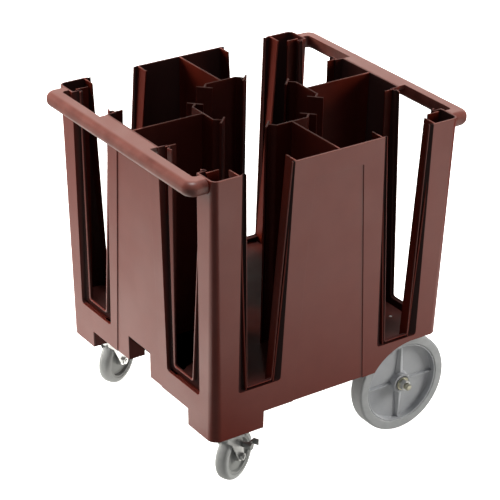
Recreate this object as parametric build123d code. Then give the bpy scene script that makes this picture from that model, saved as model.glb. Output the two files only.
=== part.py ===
from build123d import *
import math
import os

# Plate dispenser cart. Millimetres, +Z up, origin on the floor under the middle of the cart.
# The caster end faces -Y (front), the large wheels stand at the +Y end (rear), +X is the right side.

# ---- moulded body ----
WALL_TOP = 822.0
FOOT_UNDERSIDE = 159.0
TOP_HALF_X = 332.0
TOP_HALF_Y = 337.0
FOOT_HALF_X = 319.6
FOOT_HALF_Y = 321.5
TOP_CORNER_R = 16.0
FOOT_CORNER_R = 24.0
WALL = 5.0
JOIN_OVERLAP = 1.5
SKIRT_BOTTOM = 203.0
SECTION_Z = 304.0
SECTION_X = 290.0
DECK_UNDER = 260.0
DECK_TOP = 264.5
FOOT_EDGE_X = 214.5
FOOT_EDGE_Y = 182.5
FOOT_FLOOR = 6.0
REACH = 420.0
CUT = 1.0  # how far a cutter runs past what it cuts
CUTTER_START = 280.0
CUTTER_RUN = 90.0

# ---- seats in the deck for the uprights that stand on it ----
SEAT_FLOOR = 263.5
SEAT_GAP = 0.5  # room round the uprights that lean

# ---- slots: distances from the middle of the face, at SLOT_HIGH and at SLOT_LOW ----
SLOT_HIGH = 800.0
SLOT_LOW = 280.0
END_SLOT = {
    "panel_edge": (111.0, 127.0),
    "panel_rim": (116.0, 158.0),
    "post_rim": (262.0, 228.0),
    "post_edge": (267.0, 265.0),
    "sill_edge": 262.0,
    "sill_rim": 287.0,
}
SIDE_SLOT = {
    "panel_edge": (125.0, 143.0),
    "panel_rim": (128.0, 172.0),
    "post_rim": (256.0, 223.0),
    "post_edge": (261.0, 251.0),
    "sill_edge": 272.0,
    "sill_rim": 281.0,
}
SLOT_CORNER_R = 9.0
SLOT_RECESS = 3.4

# ---- shallow field on each face ----
FIELD_DEPTH = 2.2
FIELD_TOP = 768.0
FIELD_HALF_TOP = 67.0
FIELD_HALF_BOTTOM = 101.0

# ---- upright rails behind the slots ----
RAIL = 4.0
RAIL_ARM_TOP = 24.0
PANEL_RAIL = (114.0, 316.0)
PANEL_RAIL_IN = 25.0
PANEL_STEM_FOOT = (108.0, 334.0)
POST_RAIL = (278.0, 309.5)
POST_RAIL_IN = 22.5
POST_STEM_FOOT = (286.0, 331.0)
SIDE_RIB_REACH = 290.5
SIDE_PANEL_RIB = (120.0, 158.0)
SIDE_POST_RIB = (267.0, 233.0)

# ---- centre guides and divider webs ----
GUIDE_OFFSET = 146.0
GUIDE_HALF = 43.0
GUIDE_BEND = (130.0, 57.0)
GUIDE_BAR_HALF = 14.0
GUIDE_WALL = 4.5
WEB_WALL = 4.5

# ---- front notch ----
NOTCH_HALF = 48.0
NOTCH_TOP = 269.0
NOTCH_DEPTH_Y = 272.0
NOTCH_WALL = 4.0

# ---- handles ----
BAR_OUTER_Y = 389.0
BAR_INNER_Y = 355.0
BAR_UNDER = 786.0
BAR_HALF = 316.0
BAR_LINK = 34.0
BAR_PLAN_R = 28.0
BAR_PLAN_INNER_R = 8.0
BAR_TOP_R = 16.0
BAR_UNDER_R = 15.0
BAR_ROOT = 7.0
BAR_OVERLAP = 3.0
NEAR = 0.1
FLANGE_HALF = 108.0
FLANGE_UNDER = 811.0

# ---- rear wheels ----
WHEEL_R = 127.0
WHEEL_OUT_X = 293.3
WHEEL_WIDTH = 42.0
AXLE_Y = 247.7
TYRE_INNER_R = 103.0
TYRE_ROUND = 5.0
RIM_INNER_R = 100.0
RIM_FACE_SET = 1.5
WEB_THICK = 8.0
HUB_R = 25.0
HUB_PROUD = 0.7
SPOKE_WIDE = (24.0, 6.0)
SPOKE_NARROW = (9.0, 5.0)
SPOKE_SET = 8.0
SPOKE_ROOT = 6.0
BUSH_R = 12.0
AXLE_R = 8.0
AXLE_HALF = 322.0
AXLE_CHAMFER = 1.5
RUN_FIT = 0.05
END_GAP = 0.3
AXLE_WASHER_R = 17.0
AXLE_WASHER = 2.5
AXLE_NUT_AF = 24.0
AXLE_NUT = 13.0
ARCH_R = 134.0
ARCH_Z = 126.0
WELL_X = 236.0
WELL_FRONT_Y = 110.0

# ---- axle brackets ----
BRACKET_X = 228.0
BRACKET = 5.0
BRACKET_HALF_Y = 38.0
BRACKET_EYE_R = 20.0
BRACKET_FLANGE_X = 186.0
BRACKET_BOLT_X = 204.0
BRACKET_BOLT_Y = 25.0
BOLT_R = 4.0
BOLT_HEAD_AF = 13.0
BOLT_HEAD = 5.3

# ---- casters ----
CASTER_X = 266.0
CASTER_Y = -252.0
CASTER_YAW = {"left": 25.0, "right": 24.7}
TRAIL = 38.0
CASTER_R = 63.5
CASTER_WIDTH = 32.0
PLATE_X = 96.0
PLATE_Y = 78.0
PLATE = 5.0
PLATE_CORNER_R = 8.0
PLATE_BOLT_X = 38.0
PLATE_BOLT_Y = 29.0
RACE_R = 24.0
CROWN_TOP = 147.0
CROWN = 3.4
FORK_HALF = 22.0
FORK_LEG = 3.2
FORK_FRONT = -26.0
FORK_BACK = 34.0
FORK_EYE_R = 12.5
FORK_NOSE_DROP = 16.0
FORK_CHEEK = (22.0, 34.0)
FORK_TOE = (11.5, 3.0)
KING_R = 5.95
KING_HEAD_R = 10.0
KING_HEAD = 7.0
TREAD_R = 49.0
TREAD_ROUND = 6.0
CORE_RING_R = 43.0
CORE_WEB = 14.0
CORE_FACE_SET = 1.0
CASTER_HUB_R = 14.0
CASTER_BUSH_R = 8.0
CASTER_AXLE_R = 5.0
CASTER_HUB_GAP = 0.4
CASTER_HEAD_AF = 17.0
CASTER_HEAD = 7.0
CASTER_BOLT_END = 2.0

# ---- side brake of a caster ----
BRAKE_Y = 44.0
BRAKE_Z = 94.0
BRAKE_BOLT_R = 4.0
BRAKE_TUBE_R = 7.5
BRAKE_TUBE = 13.0
BRAKE_ARM = 4.0
BRAKE_ARM_LENGTH = 27.0
BRAKE_ARM_WIDTH = 15.0
BRAKE_TOE = 10.0
BRAKE_HEAD_AF = 17.0
BRAKE_HEAD = 7.0


# ---------------------------------------------------------------- helpers
def block(low_x, high_x, low_y, high_y, low_z, high_z):
    """Axis-aligned box between two corners."""
    size = (high_x - low_x, high_y - low_y, high_z - low_z)
    middle = ((low_x + high_x) / 2, (low_y + high_y) / 2, (low_z + high_z) / 2)
    return Pos(*middle) * Box(*size)


def upright(points, low_z, high_z):
    """Plan outline raised from low_z to high_z."""
    outline = Plane.XY.offset(low_z) * make_face(Polyline(*points, close=True))
    return extrude(outline, high_z - low_z, dir=(0, 0, 1))


def taper(low_points, low_z, high_points, high_z):
    """Straight-sided solid between two plan outlines."""
    low = Plane.XY.offset(low_z) * make_face(Polyline(*low_points, close=True))
    high = Plane.XY.offset(high_z) * make_face(Polyline(*high_points, close=True))
    return loft([low, high], ruled=True)


def strip(start, end, width):
    """Plan outline of a straight bar of the given width from start to end."""
    run = (end[0] - start[0], end[1] - start[1])
    length = math.hypot(*run)
    side = (-run[1] / length * width / 2, run[0] / length * width / 2)
    return [
        (start[0] + side[0], start[1] + side[1]),
        (start[0] - side[0], start[1] - side[1]),
        (end[0] - side[0], end[1] - side[1]),
        (end[0] + side[0], end[1] + side[1]),
    ]


def cross_rod(radius, low_x, high_x, y, z):
    """Cylinder along X."""
    rod = Cylinder(radius, high_x - low_x, rotation=(0, 90, 0))
    return Pos((low_x + high_x) / 2, y, z) * rod


def post_rod(radius, x, y, low_z, high_z):
    """Cylinder along Z."""
    return Pos(x, y, (low_z + high_z) / 2) * Cylinder(radius, high_z - low_z)


def hexagon(across_flats, low_x, high_x, y, z):
    """Hexagonal prism along X, for bolt heads and nuts."""
    face = Plane.YZ.offset(low_x) * Pos(y, z) * RegularPolygon(across_flats / 2, 6, major_radius=False)
    return extrude(face, high_x - low_x, dir=(1, 0, 0))


def hexagon_up(across_flats, x, y, low_z, high_z):
    """Hexagonal prism along Z."""
    face = Plane.XY.offset(low_z) * Pos(x, y) * RegularPolygon(across_flats / 2, 6, major_radius=False)
    return extrude(face, high_z - low_z, dir=(0, 0, 1))


def half_x(z):
    """Half width of the outer body at height z."""
    return FOOT_HALF_X + (z - FOOT_UNDERSIDE) * (TOP_HALF_X - FOOT_HALF_X) / (WALL_TOP - FOOT_UNDERSIDE)


def half_y(z):
    """Half length of the outer body at height z."""
    return FOOT_HALF_Y + (z - FOOT_UNDERSIDE) * (TOP_HALF_Y - FOOT_HALF_Y) / (WALL_TOP - FOOT_UNDERSIDE)


def slot_at(pair, z):
    """A slot line's distance from the middle of its face at height z."""
    return pair[0] + (pair[1] - pair[0]) * (SLOT_HIGH - z) / (SLOT_HIGH - SLOT_LOW)


def body_block(inset):
    """Solid of the drafted body outline, drawn in by inset all round."""
    foot = Plane.XY.offset(FOOT_UNDERSIDE) * RectangleRounded(
        2 * (FOOT_HALF_X - inset), 2 * (FOOT_HALF_Y - inset), FOOT_CORNER_R - inset
    )
    top = Plane.XY.offset(WALL_TOP) * RectangleRounded(
        2 * (TOP_HALF_X - inset), 2 * (TOP_HALF_Y - inset), TOP_CORNER_R - inset
    )
    return loft([foot, top], ruled=True)


def export(node, solid):
    """Write one node."""
    export_step(solid, f"parts/{node}.step")


def group(solids):
    """Separate solids that share one node."""
    return Compound(children=list(solids))


# ---------------------------------------------------------------- body sections
OUTER = body_block(0)
INNER = body_block(WALL)
WELD = body_block(WALL - JOIN_OVERLAP)
TURNS = {"front": 0, "right": 90, "rear": 180, "left": 270}
ENDS = ("front", "rear")


def on_face(side, solid):
    """Turn a solid drawn on the front face round to another face."""
    return Rot(0, 0, TURNS[side]) * solid


def face_half(side, z):
    """Distance from the middle of the cart to a face at height z."""
    return half_y(z) if side in ENDS else half_x(z)


def slot_cutter(side, mirror):
    """Slot with its sloping margins, cut through the wall of one face."""
    shape = END_SLOT if side in ENDS else SIDE_SLOT
    low = shape["sill_rim"]
    high = WALL_TOP + CUT
    corners = [
        (mirror * slot_at(shape["panel_rim"], high), high),
        (mirror * slot_at(shape["post_rim"], high), high),
        (mirror * slot_at(shape["post_rim"], low), low),
        (mirror * slot_at(shape["panel_rim"], low), low),
    ]
    window = Plane.XZ.offset(CUTTER_START) * make_face(Polyline(*corners, close=True))
    through = extrude(window, CUTTER_RUN, dir=(0, -1, 0))
    sill_edges = through.edges().filter_by(Axis.Y).sort_by(Axis.Z)[:2]
    through = fillet(sill_edges, SLOT_CORNER_R)
    cutter = through
    for edge, rim in (("panel_edge", "panel_rim"), ("post_edge", "post_rim")):
        cutter += slot_margin(side, shape[edge], shape[rim], shape["sill_edge"], high, mirror)
    return cutter + sill_margin(side, shape, mirror)


def slot_margin(side, edge, rim, low, high, mirror):
    """Wedge between a face edge and the slot's rim, deepest at the rim."""
    ends = []
    for z in (low, high):
        face = face_half(side, z)
        edge_x = mirror * slot_at(edge, z)
        rim_x = mirror * slot_at(rim, z)
        ends.append([
            (edge_x, -face - CUT),
            (edge_x, -face),
            (rim_x, -face + SLOT_RECESS),
            (rim_x, -face - CUT),
        ])
    return taper(ends[0], low, ends[1], high)


def sill_margin(side, shape, mirror):
    """Wedge between the sill's face edge and the slot's lower rim."""
    low = shape["sill_edge"]
    high = shape["sill_rim"] + SLOT_CORNER_R
    left = mirror * slot_at(shape["panel_rim"], low)
    right = mirror * slot_at(shape["post_rim"], low)
    profile = [
        (-face_half(side, low), low),
        (-face_half(side, high) + SLOT_RECESS, high),
        (-face_half(side, high) - CUT, high),
        (-face_half(side, low) - CUT, low),
    ]
    face = Plane.YZ.offset(min(left, right)) * make_face(Polyline(*profile, close=True))
    return extrude(face, abs(right - left), dir=(1, 0, 0))


def field_cutter(side):
    """Shallow field in the middle of one face, open at the skirt's lower edge."""
    outline = [
        (-FIELD_HALF_BOTTOM, SKIRT_BOTTOM - CUT),
        (FIELD_HALF_BOTTOM, SKIRT_BOTTOM - CUT),
        (FIELD_HALF_TOP, FIELD_TOP),
        (-FIELD_HALF_TOP, FIELD_TOP),
    ]
    face = Plane.XZ.offset(CUTTER_START) * make_face(Polyline(*outline, close=True))
    return on_face(side, extrude(face, CUTTER_RUN, dir=(0, -1, 0)))


def make_shell():
    """Drafted wall of the body with its slots, fields, notch and wheel arches."""
    shell = OUTER - INNER
    skin = OUTER - body_block(FIELD_DEPTH)
    for side in TURNS:
        for mirror in (-1, 1):
            shell -= on_face(side, slot_cutter(side, mirror))
        shell -= skin & field_cutter(side)
    below = block(-REACH, REACH, -REACH, REACH, 0, SKIRT_BOTTOM)
    for mirror in (-1, 1):
        foot = block(FOOT_EDGE_X, REACH, -REACH, -FOOT_EDGE_Y, 0, SKIRT_BOTTOM)
        below -= foot if mirror > 0 else mirror_x(foot)
    shell -= below
    shell -= block(-NOTCH_HALF, NOTCH_HALF, -REACH, -SECTION_X, 0, NOTCH_TOP)
    arch_top = ARCH_Z + ARCH_R
    for mirror in (-1, 1):
        arch = cross_rod(ARCH_R, WELL_X, REACH, AXLE_Y, ARCH_Z)
        arch += block(WELL_X, REACH, AXLE_Y, REACH, 0, arch_top)
        shell -= arch if mirror > 0 else mirror_x(arch)
    return shell


def mirror_x(solid):
    """Copy of a solid on the other side of the cart."""
    return mirror(solid, about=Plane.YZ)


def rails():
    """Upright rails of the front face, in the +X half: the panel's rail, then the post's."""
    found = []
    for rail, stem, inward, rim, toward in (
        (PANEL_RAIL, PANEL_STEM_FOOT, PANEL_RAIL_IN, END_SLOT["panel_rim"], 1),
        (POST_RAIL, POST_STEM_FOOT, POST_RAIL_IN, END_SLOT["post_rim"], -1),
    ):
        x, y = rail
        stem_bar = [(p, -q) for p, q in strip(stem, rail, RAIL)]
        found.append(clipped(stem_bar))
        found.append(clipped([
            (x - RAIL / 2, -y - RAIL / 2),
            (x + RAIL / 2, -y - RAIL / 2),
            (x + RAIL / 2, -y + inward),
            (x - RAIL / 2, -y + inward),
        ]))
        low = arm_outline(x, slot_at(rim, SEAT_FLOOR) - toward, y)
        high = arm_outline(x, x + toward * RAIL_ARM_TOP, y)
        found.append(taper(low, SEAT_FLOOR, high, WALL_TOP) & INNER)
    return found


def arm_outline(start, tip, y):
    """Plan outline of a rail's arm along the wall, from the rail to its tip."""
    return [(start, -y - RAIL / 2), (tip, -y - RAIL / 2), (tip, -y + RAIL / 2), (start, -y + RAIL / 2)]


def clipped(outline):
    """Upright rib that stops at the skirt's inner face and bites into the wall above it."""
    lower = upright(outline, SEAT_FLOOR, SECTION_Z) & INNER
    upper = upright(outline, SECTION_Z, WALL_TOP) & WELD
    return lower + upper


def side_rib(pair):
    """Slanting upright rib on the right face, from the wall inward."""
    low, middle, high = (rib_outline(pair, z, 0) for z in (SEAT_FLOOR, SECTION_Z, WALL_TOP))
    lower = taper(low, SEAT_FLOOR, middle, SECTION_Z) & INNER
    upper = taper(middle, SECTION_Z, high, WALL_TOP) & WELD
    return lower + upper


def rib_outline(pair, z, gap):
    """Plan outline of a side rib at height z, grown by gap."""
    y = slot_at(pair, z)
    half = RAIL / 2 + gap
    reach = SIDE_RIB_REACH - gap
    return [(reach, y - half), (REACH, y - half), (REACH, y + half), (reach, y + half)]


def leaning_seats():
    """Seats with room round the leaning uprights of the +X, -Y quarter."""
    found = []
    for pair in (SIDE_PANEL_RIB, SIDE_POST_RIB):
        outline = [(x, -y) for x, y in rib_outline(pair, DECK_TOP, SEAT_GAP)]
        found.append(upright(outline, SEAT_FLOOR, DECK_TOP + CUT))
    for (x, y), rim in ((PANEL_RAIL, END_SLOT["panel_rim"]), (POST_RAIL, END_SLOT["post_rim"])):
        tip = slot_at(rim, DECK_TOP)
        low_x = min(x, tip) - SEAT_GAP
        high_x = max(x, tip) + SEAT_GAP
        half = RAIL / 2 + SEAT_GAP
        found.append(block(low_x, high_x, -y - half, -y + half, SEAT_FLOOR, DECK_TOP + CUT))
    return found


def quadrant(solid, x_sign, y_sign):
    """Move a solid drawn at +X, -Y to another corner of the cart."""
    if x_sign < 0:
        solid = mirror(solid, about=Plane.YZ)
    if y_sign > 0:
        solid = mirror(solid, about=Plane.XZ)
    return solid


def build_skirt(shell):
    """Four lower wall sections, with the front feet and the rear wheel arches."""
    low = shell & block(-REACH, REACH, -REACH, REACH, 0, SECTION_Z)
    export("skirt_front", low & block(-SECTION_X, SECTION_X, -REACH, 0, 0, SECTION_Z))
    export("skirt_rear", low & block(-SECTION_X, SECTION_X, 0, REACH, 0, SECTION_Z))
    export("skirt_left", low & block(-REACH, -SECTION_X, -REACH, REACH, 0, SECTION_Z))
    export("skirt_right", low & block(SECTION_X, REACH, -REACH, REACH, 0, SECTION_Z))


def build_uprights(shell):
    """Corner posts and side panels above the skirt, with their rails."""
    high = shell & block(-REACH, REACH, -REACH, REACH, SECTION_Z, WALL_TOP)
    middle = (shape_middle(END_SLOT), shape_middle(SIDE_SLOT))
    bars = rails()
    panel_bars = bars[:3]
    post_bars = bars[3:]
    for y_sign, end in ((-1, "front"), (1, "rear")):
        for x_sign, side in ((-1, "left"), (1, "right")):
            post = high & quadrant(block(middle[0], REACH, -REACH, -middle[1], SECTION_Z, WALL_TOP), x_sign, y_sign)
            for bar in post_bars:
                post += quadrant(bar, x_sign, y_sign)
            post += quadrant(mirror(side_rib(SIDE_POST_RIB), about=Plane.XZ), x_sign, y_sign)
            export(f"corner_post_{end}_{side}", post)
        panel = high & quadrant(block(-middle[0], middle[0], -REACH, -SECTION_X, SECTION_Z, WALL_TOP), 1, y_sign)
        for bar in panel_bars:
            panel += quadrant(bar, 1, y_sign)
            panel += quadrant(bar, -1, y_sign)
        export(f"side_panel_{end}", panel)
    rib = side_rib(SIDE_PANEL_RIB)
    for x_sign, side in ((-1, "left"), (1, "right")):
        panel = high & quadrant(block(SECTION_X, REACH, -middle[1], middle[1], SECTION_Z, WALL_TOP), x_sign, -1)
        panel += quadrant(rib, x_sign, -1)
        panel += quadrant(rib, x_sign, 1)
        export(f"side_panel_{side}", panel)


def shape_middle(shape):
    """Distance from the middle of a face to the middle of its slot."""
    return (shape["panel_rim"][1] + shape["post_rim"][1]) / 2


def build_deck():
    """Floor of the plate compartments."""
    deck = INNER & block(-REACH, REACH, -REACH, REACH, DECK_UNDER, DECK_TOP)
    half = NOTCH_HALF + NOTCH_WALL
    deck -= block(-half, half, -REACH, -NOTCH_DEPTH_Y, 0, WALL_TOP)
    for side in TURNS:
        deck -= on_face(side, divider_web(side))
        deck -= on_face(side, centre_guide())
    seats = rails() + leaning_seats()
    for x_sign in (-1, 1):
        for y_sign in (-1, 1):
            for seat in seats:
                deck -= quadrant(seat, x_sign, y_sign)
            x = x_sign * BRACKET_BOLT_X
            y = AXLE_Y + y_sign * BRACKET_BOLT_Y
            deck -= post_rod(BOLT_R, x, y, DECK_UNDER - CUT, DECK_TOP + CUT)
    export("base_deck", deck)


def build_notch():
    """Lining of the notch under the front face."""
    half = NOTCH_HALF + NOTCH_WALL
    lining = block(-half, half, -REACH, -NOTCH_DEPTH_Y, SKIRT_BOTTOM, NOTCH_TOP + NOTCH_WALL)
    lining -= block(-NOTCH_HALF, NOTCH_HALF, -REACH, -NOTCH_DEPTH_Y - NOTCH_WALL, 0, NOTCH_TOP)
    lining -= block(-half, half, -NOTCH_DEPTH_Y - NOTCH_WALL, 0, 0, DECK_UNDER)
    export("notch_lining", lining & INNER)


def build_caster_boxes():
    """Boxed feet that carry the casters."""
    x = FOOT_EDGE_X
    y = FOOT_EDGE_Y
    outer = block(x, REACH, -REACH, -y, FOOT_UNDERSIDE, DECK_UNDER) & INNER
    hollow = block(x + WALL, REACH, -REACH, -y - WALL, FOOT_UNDERSIDE + FOOT_FLOOR, DECK_UNDER)
    box = outer - hollow
    for bolt_x in (-PLATE_BOLT_X, PLATE_BOLT_X):
        for bolt_y in (-PLATE_BOLT_Y, PLATE_BOLT_Y):
            box -= post_rod(BOLT_R, CASTER_X + bolt_x, CASTER_Y + bolt_y, 0, FOOT_UNDERSIDE + FOOT_FLOOR + CUT)
    export("caster_box_right", box)
    export("caster_box_left", mirror_x(box))


def build_wells():
    """Inner walls of the rear wheel wells."""
    wall = block(WELL_X, WELL_X + NOTCH_WALL, WELL_FRONT_Y, REACH, SKIRT_BOTTOM, DECK_UNDER)
    wall += block(WELL_X, REACH, WELL_FRONT_Y - NOTCH_WALL, WELL_FRONT_Y, SKIRT_BOTTOM, DECK_UNDER)
    wall &= INNER
    export("wheel_well_right", wall)
    export("wheel_well_left", mirror_x(wall))


def build_dividers():
    """Divider webs and the guides round the centre column."""
    for side in TURNS:
        export(f"divider_web_{side}", on_face(side, divider_web(side)) & INNER)
        export(f"centre_guide_{side}", on_face(side, centre_guide()))


def divider_web(side):
    """Web from a face's middle to its centre guide, drawn on the front face."""
    guide_face = -GUIDE_OFFSET - GUIDE_WALL / 2
    web = block(-WEB_WALL / 2, WEB_WALL / 2, -REACH, guide_face, SEAT_FLOOR, WALL_TOP)
    if side == "front":
        web -= block(-REACH, REACH, -REACH, -NOTCH_DEPTH_Y, 0, NOTCH_TOP + NOTCH_WALL)
    return web


def centre_guide():
    """Guide wall of the centre column, with a crossbar at each bent end."""
    offset = -GUIDE_OFFSET
    bend_y, bend_x = GUIDE_BEND
    outline = strip((-GUIDE_HALF - CUT, offset), (GUIDE_HALF + CUT, offset), GUIDE_WALL)
    guide = upright(outline, SEAT_FLOOR, WALL_TOP)
    for side in (-1, 1):
        link = strip((side * GUIDE_HALF, offset), (side * bend_x, -bend_y), GUIDE_WALL)
        guide += upright(link, SEAT_FLOOR, WALL_TOP)
        bar = strip(
            (side * (bend_x - GUIDE_BAR_HALF), -bend_y + GUIDE_BAR_HALF),
            (side * (bend_x + GUIDE_BAR_HALF), -bend_y - GUIDE_BAR_HALF),
            GUIDE_WALL,
        )
        guide += upright(bar, SEAT_FLOOR, WALL_TOP)
    return guide


def build_handles():
    """Rounded push bars joined to the posts at their ends and to the panel in the middle."""
    root = TOP_HALF_Y - BAR_ROOT
    outer = Plane.XY.offset(BAR_UNDER) * Pos(0, -(root + BAR_OUTER_Y) / 2) * Rectangle(
        2 * BAR_HALF, BAR_OUTER_Y - root
    )
    outer = extrude(outer, WALL_TOP - BAR_UNDER, dir=(0, 0, 1))
    outer = fillet(outer.edges().filter_by(Axis.Z).sort_by(Axis.Y)[:2], BAR_PLAN_R)
    inner_half = BAR_HALF - BAR_LINK
    inner = block(-inner_half, inner_half, -BAR_INNER_Y, -root + CUT, BAR_UNDER - CUT, WALL_TOP + CUT)
    inner = fillet(inner.edges().filter_by(Axis.Z).sort_by(Axis.Y)[:2], BAR_PLAN_INNER_R)
    bar = outer - inner

    def is_inner(edge):
        middle = edge.center()
        return abs(middle.X) < inner_half + NEAR and middle.Y > -BAR_INNER_Y - NEAR

    def along(edges, height):
        return [e for e in edges if abs(e.center().Z - height) < NEAR and e.center().Y < -root - NEAR]

    top = along(bar.edges(), WALL_TOP)
    bar = fillet([e for e in top if not is_inner(e)], BAR_TOP_R)
    under = along(bar.edges(), BAR_UNDER)
    bar = fillet(under, BAR_UNDER_R)
    bar += block(-FLANGE_HALF, FLANGE_HALF, -BAR_INNER_Y - BAR_OVERLAP, -root, FLANGE_UNDER, WALL_TOP)
    bar -= OUTER
    export("handle_bar_front", bar)
    export("handle_bar_rear", mirror(bar, about=Plane.XZ))


# ---------------------------------------------------------------- rear wheels
def wheel_parts():
    """Right rear wheel: tyre, moulded centre and bush."""
    low_x = WHEEL_OUT_X - WHEEL_WIDTH
    tyre = cross_rod(WHEEL_R, low_x, WHEEL_OUT_X, AXLE_Y, WHEEL_R)
    tyre = fillet(tyre.edges().filter_by(GeomType.CIRCLE), TYRE_ROUND)
    tyre -= cross_rod(TYRE_INNER_R, 0, REACH, AXLE_Y, WHEEL_R)
    middle = (low_x + WHEEL_OUT_X) / 2
    ring_low = low_x + RIM_FACE_SET
    ring_high = WHEEL_OUT_X - RIM_FACE_SET
    centre = cross_rod(TYRE_INNER_R, ring_low, ring_high, AXLE_Y, WHEEL_R)
    for start, end in ((0, middle - WEB_THICK / 2), (middle + WEB_THICK / 2, REACH)):
        centre -= cross_rod(RIM_INNER_R, start, end, AXLE_Y, WHEEL_R)
    for turn, widths in enumerate((SPOKE_WIDE, SPOKE_NARROW, SPOKE_WIDE, SPOKE_NARROW)):
        centre += spoke(turn * 90, widths, ring_low + SPOKE_SET, ring_high - SPOKE_SET)
    centre += cross_rod(HUB_R, low_x - HUB_PROUD, WHEEL_OUT_X + HUB_PROUD, AXLE_Y, WHEEL_R)
    centre -= cross_rod(BUSH_R, 0, REACH, AXLE_Y, WHEEL_R)
    bush = cross_rod(BUSH_R, low_x - HUB_PROUD, WHEEL_OUT_X + HUB_PROUD, AXLE_Y, WHEEL_R)
    bush -= cross_rod(AXLE_R + RUN_FIT, 0, REACH, AXLE_Y, WHEEL_R)
    return {"tyre": tyre, "centre": centre, "bush": bush}


def spoke(turn, widths, low_x, high_x):
    """Tapered radial rib of the wheel centre."""
    at_hub, at_rim = widths
    outline = [
        (-at_hub / 2, HUB_R - SPOKE_ROOT),
        (at_hub / 2, HUB_R - SPOKE_ROOT),
        (at_rim / 2, RIM_INNER_R + CUT),
        (-at_rim / 2, RIM_INNER_R + CUT),
    ]
    face = Plane.YZ.offset(low_x) * Pos(AXLE_Y, WHEEL_R) * Rot(0, 0, turn) * make_face(
        Polyline(*outline, close=True)
    )
    return extrude(face, high_x - low_x, dir=(1, 0, 0))


def build_rear_wheels():
    """Both rear wheels, the axle and what holds it."""
    for name, solid in wheel_parts().items():
        export(f"rear_wheel_{name}_right", solid)
        export(f"rear_wheel_{name}_left", mirror_x(solid))
    axle = cross_rod(AXLE_R, -AXLE_HALF, AXLE_HALF, AXLE_Y, WHEEL_R)
    export("rear_axle", chamfer(axle.edges().filter_by(GeomType.CIRCLE), AXLE_CHAMFER))
    hub_in = WHEEL_OUT_X - WHEEL_WIDTH - HUB_PROUD
    hub_out = WHEEL_OUT_X + HUB_PROUD
    bore = cross_rod(AXLE_R, 0, REACH, AXLE_Y, WHEEL_R)
    spacer = cross_rod(BUSH_R, BRACKET_X + BRACKET, hub_in - END_GAP, AXLE_Y, WHEEL_R) - bore
    washer_low = hub_out + END_GAP
    washer = cross_rod(AXLE_WASHER_R, washer_low, washer_low + AXLE_WASHER, AXLE_Y, WHEEL_R) - bore
    nut_low = washer_low + AXLE_WASHER
    nut = hexagon(AXLE_NUT_AF, nut_low, nut_low + AXLE_NUT, AXLE_Y, WHEEL_R) - bore
    export("axle_spacers", group([spacer, mirror_x(spacer)]))
    export("axle_washers", group([washer, mirror_x(washer)]))
    export("axle_nuts", group([nut, mirror_x(nut)]))


def build_brackets():
    """Steel brackets that hang the axle from the deck, and their bolts."""
    high_x = BRACKET_X + BRACKET
    front = AXLE_Y - BRACKET_HALF_Y
    back = AXLE_Y + BRACKET_HALF_Y
    plate_outline = [
        (front, DECK_UNDER),
        (back, DECK_UNDER),
        (AXLE_Y + BRACKET_EYE_R, WHEEL_R),
        (AXLE_Y - BRACKET_EYE_R, WHEEL_R),
    ]
    plate = Plane.YZ.offset(BRACKET_X) * make_face(Polyline(*plate_outline, close=True))
    bracket = extrude(plate, BRACKET, dir=(1, 0, 0))
    bracket += cross_rod(BRACKET_EYE_R, BRACKET_X, high_x, AXLE_Y, WHEEL_R)
    bracket += block(BRACKET_FLANGE_X, BRACKET_X + CUT, front, back, DECK_UNDER - BRACKET, DECK_UNDER)
    bracket -= cross_rod(AXLE_R + RUN_FIT, 0, REACH, AXLE_Y, WHEEL_R)
    bolts = []
    for y_sign in (-1, 1):
        y = AXLE_Y + y_sign * BRACKET_BOLT_Y
        bracket -= post_rod(BOLT_R, BRACKET_BOLT_X, y, 0, DECK_UNDER)
        head_top = DECK_UNDER - BRACKET
        bolt = hexagon_up(BOLT_HEAD_AF, BRACKET_BOLT_X, y, head_top - BOLT_HEAD, head_top)
        bolt += post_rod(BOLT_R, BRACKET_BOLT_X, y, head_top, DECK_TOP)
        bolts += [bolt, mirror_x(bolt)]
    export("axle_bracket_right", bracket)
    export("axle_bracket_left", mirror_x(bracket))
    export("axle_bracket_bolts", group(bolts))


# ---------------------------------------------------------------- casters
def caster_fixed_parts():
    """Top plate with its ball race, and the kingpin, about the swivel axis."""
    plate = block(-PLATE_X / 2, PLATE_X / 2, -PLATE_Y / 2, PLATE_Y / 2, FOOT_UNDERSIDE - PLATE, FOOT_UNDERSIDE)
    plate = fillet(plate.edges().filter_by(Axis.Z), PLATE_CORNER_R)
    plate += post_rod(RACE_R, 0, 0, CROWN_TOP + END_GAP, FOOT_UNDERSIDE - PLATE)
    plate -= post_rod(KING_R + RUN_FIT, 0, 0, 0, FOOT_UNDERSIDE + CUT)
    for x in (-PLATE_BOLT_X, PLATE_BOLT_X):
        for y in (-PLATE_BOLT_Y, PLATE_BOLT_Y):
            plate -= post_rod(BOLT_R, x, y, 0, FOOT_UNDERSIDE + CUT)
    head_top = CROWN_TOP - CROWN - END_GAP
    king = post_rod(KING_HEAD_R, 0, 0, head_top - KING_HEAD, head_top)
    king += post_rod(KING_R, 0, 0, head_top, FOOT_UNDERSIDE)
    return plate, king


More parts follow.
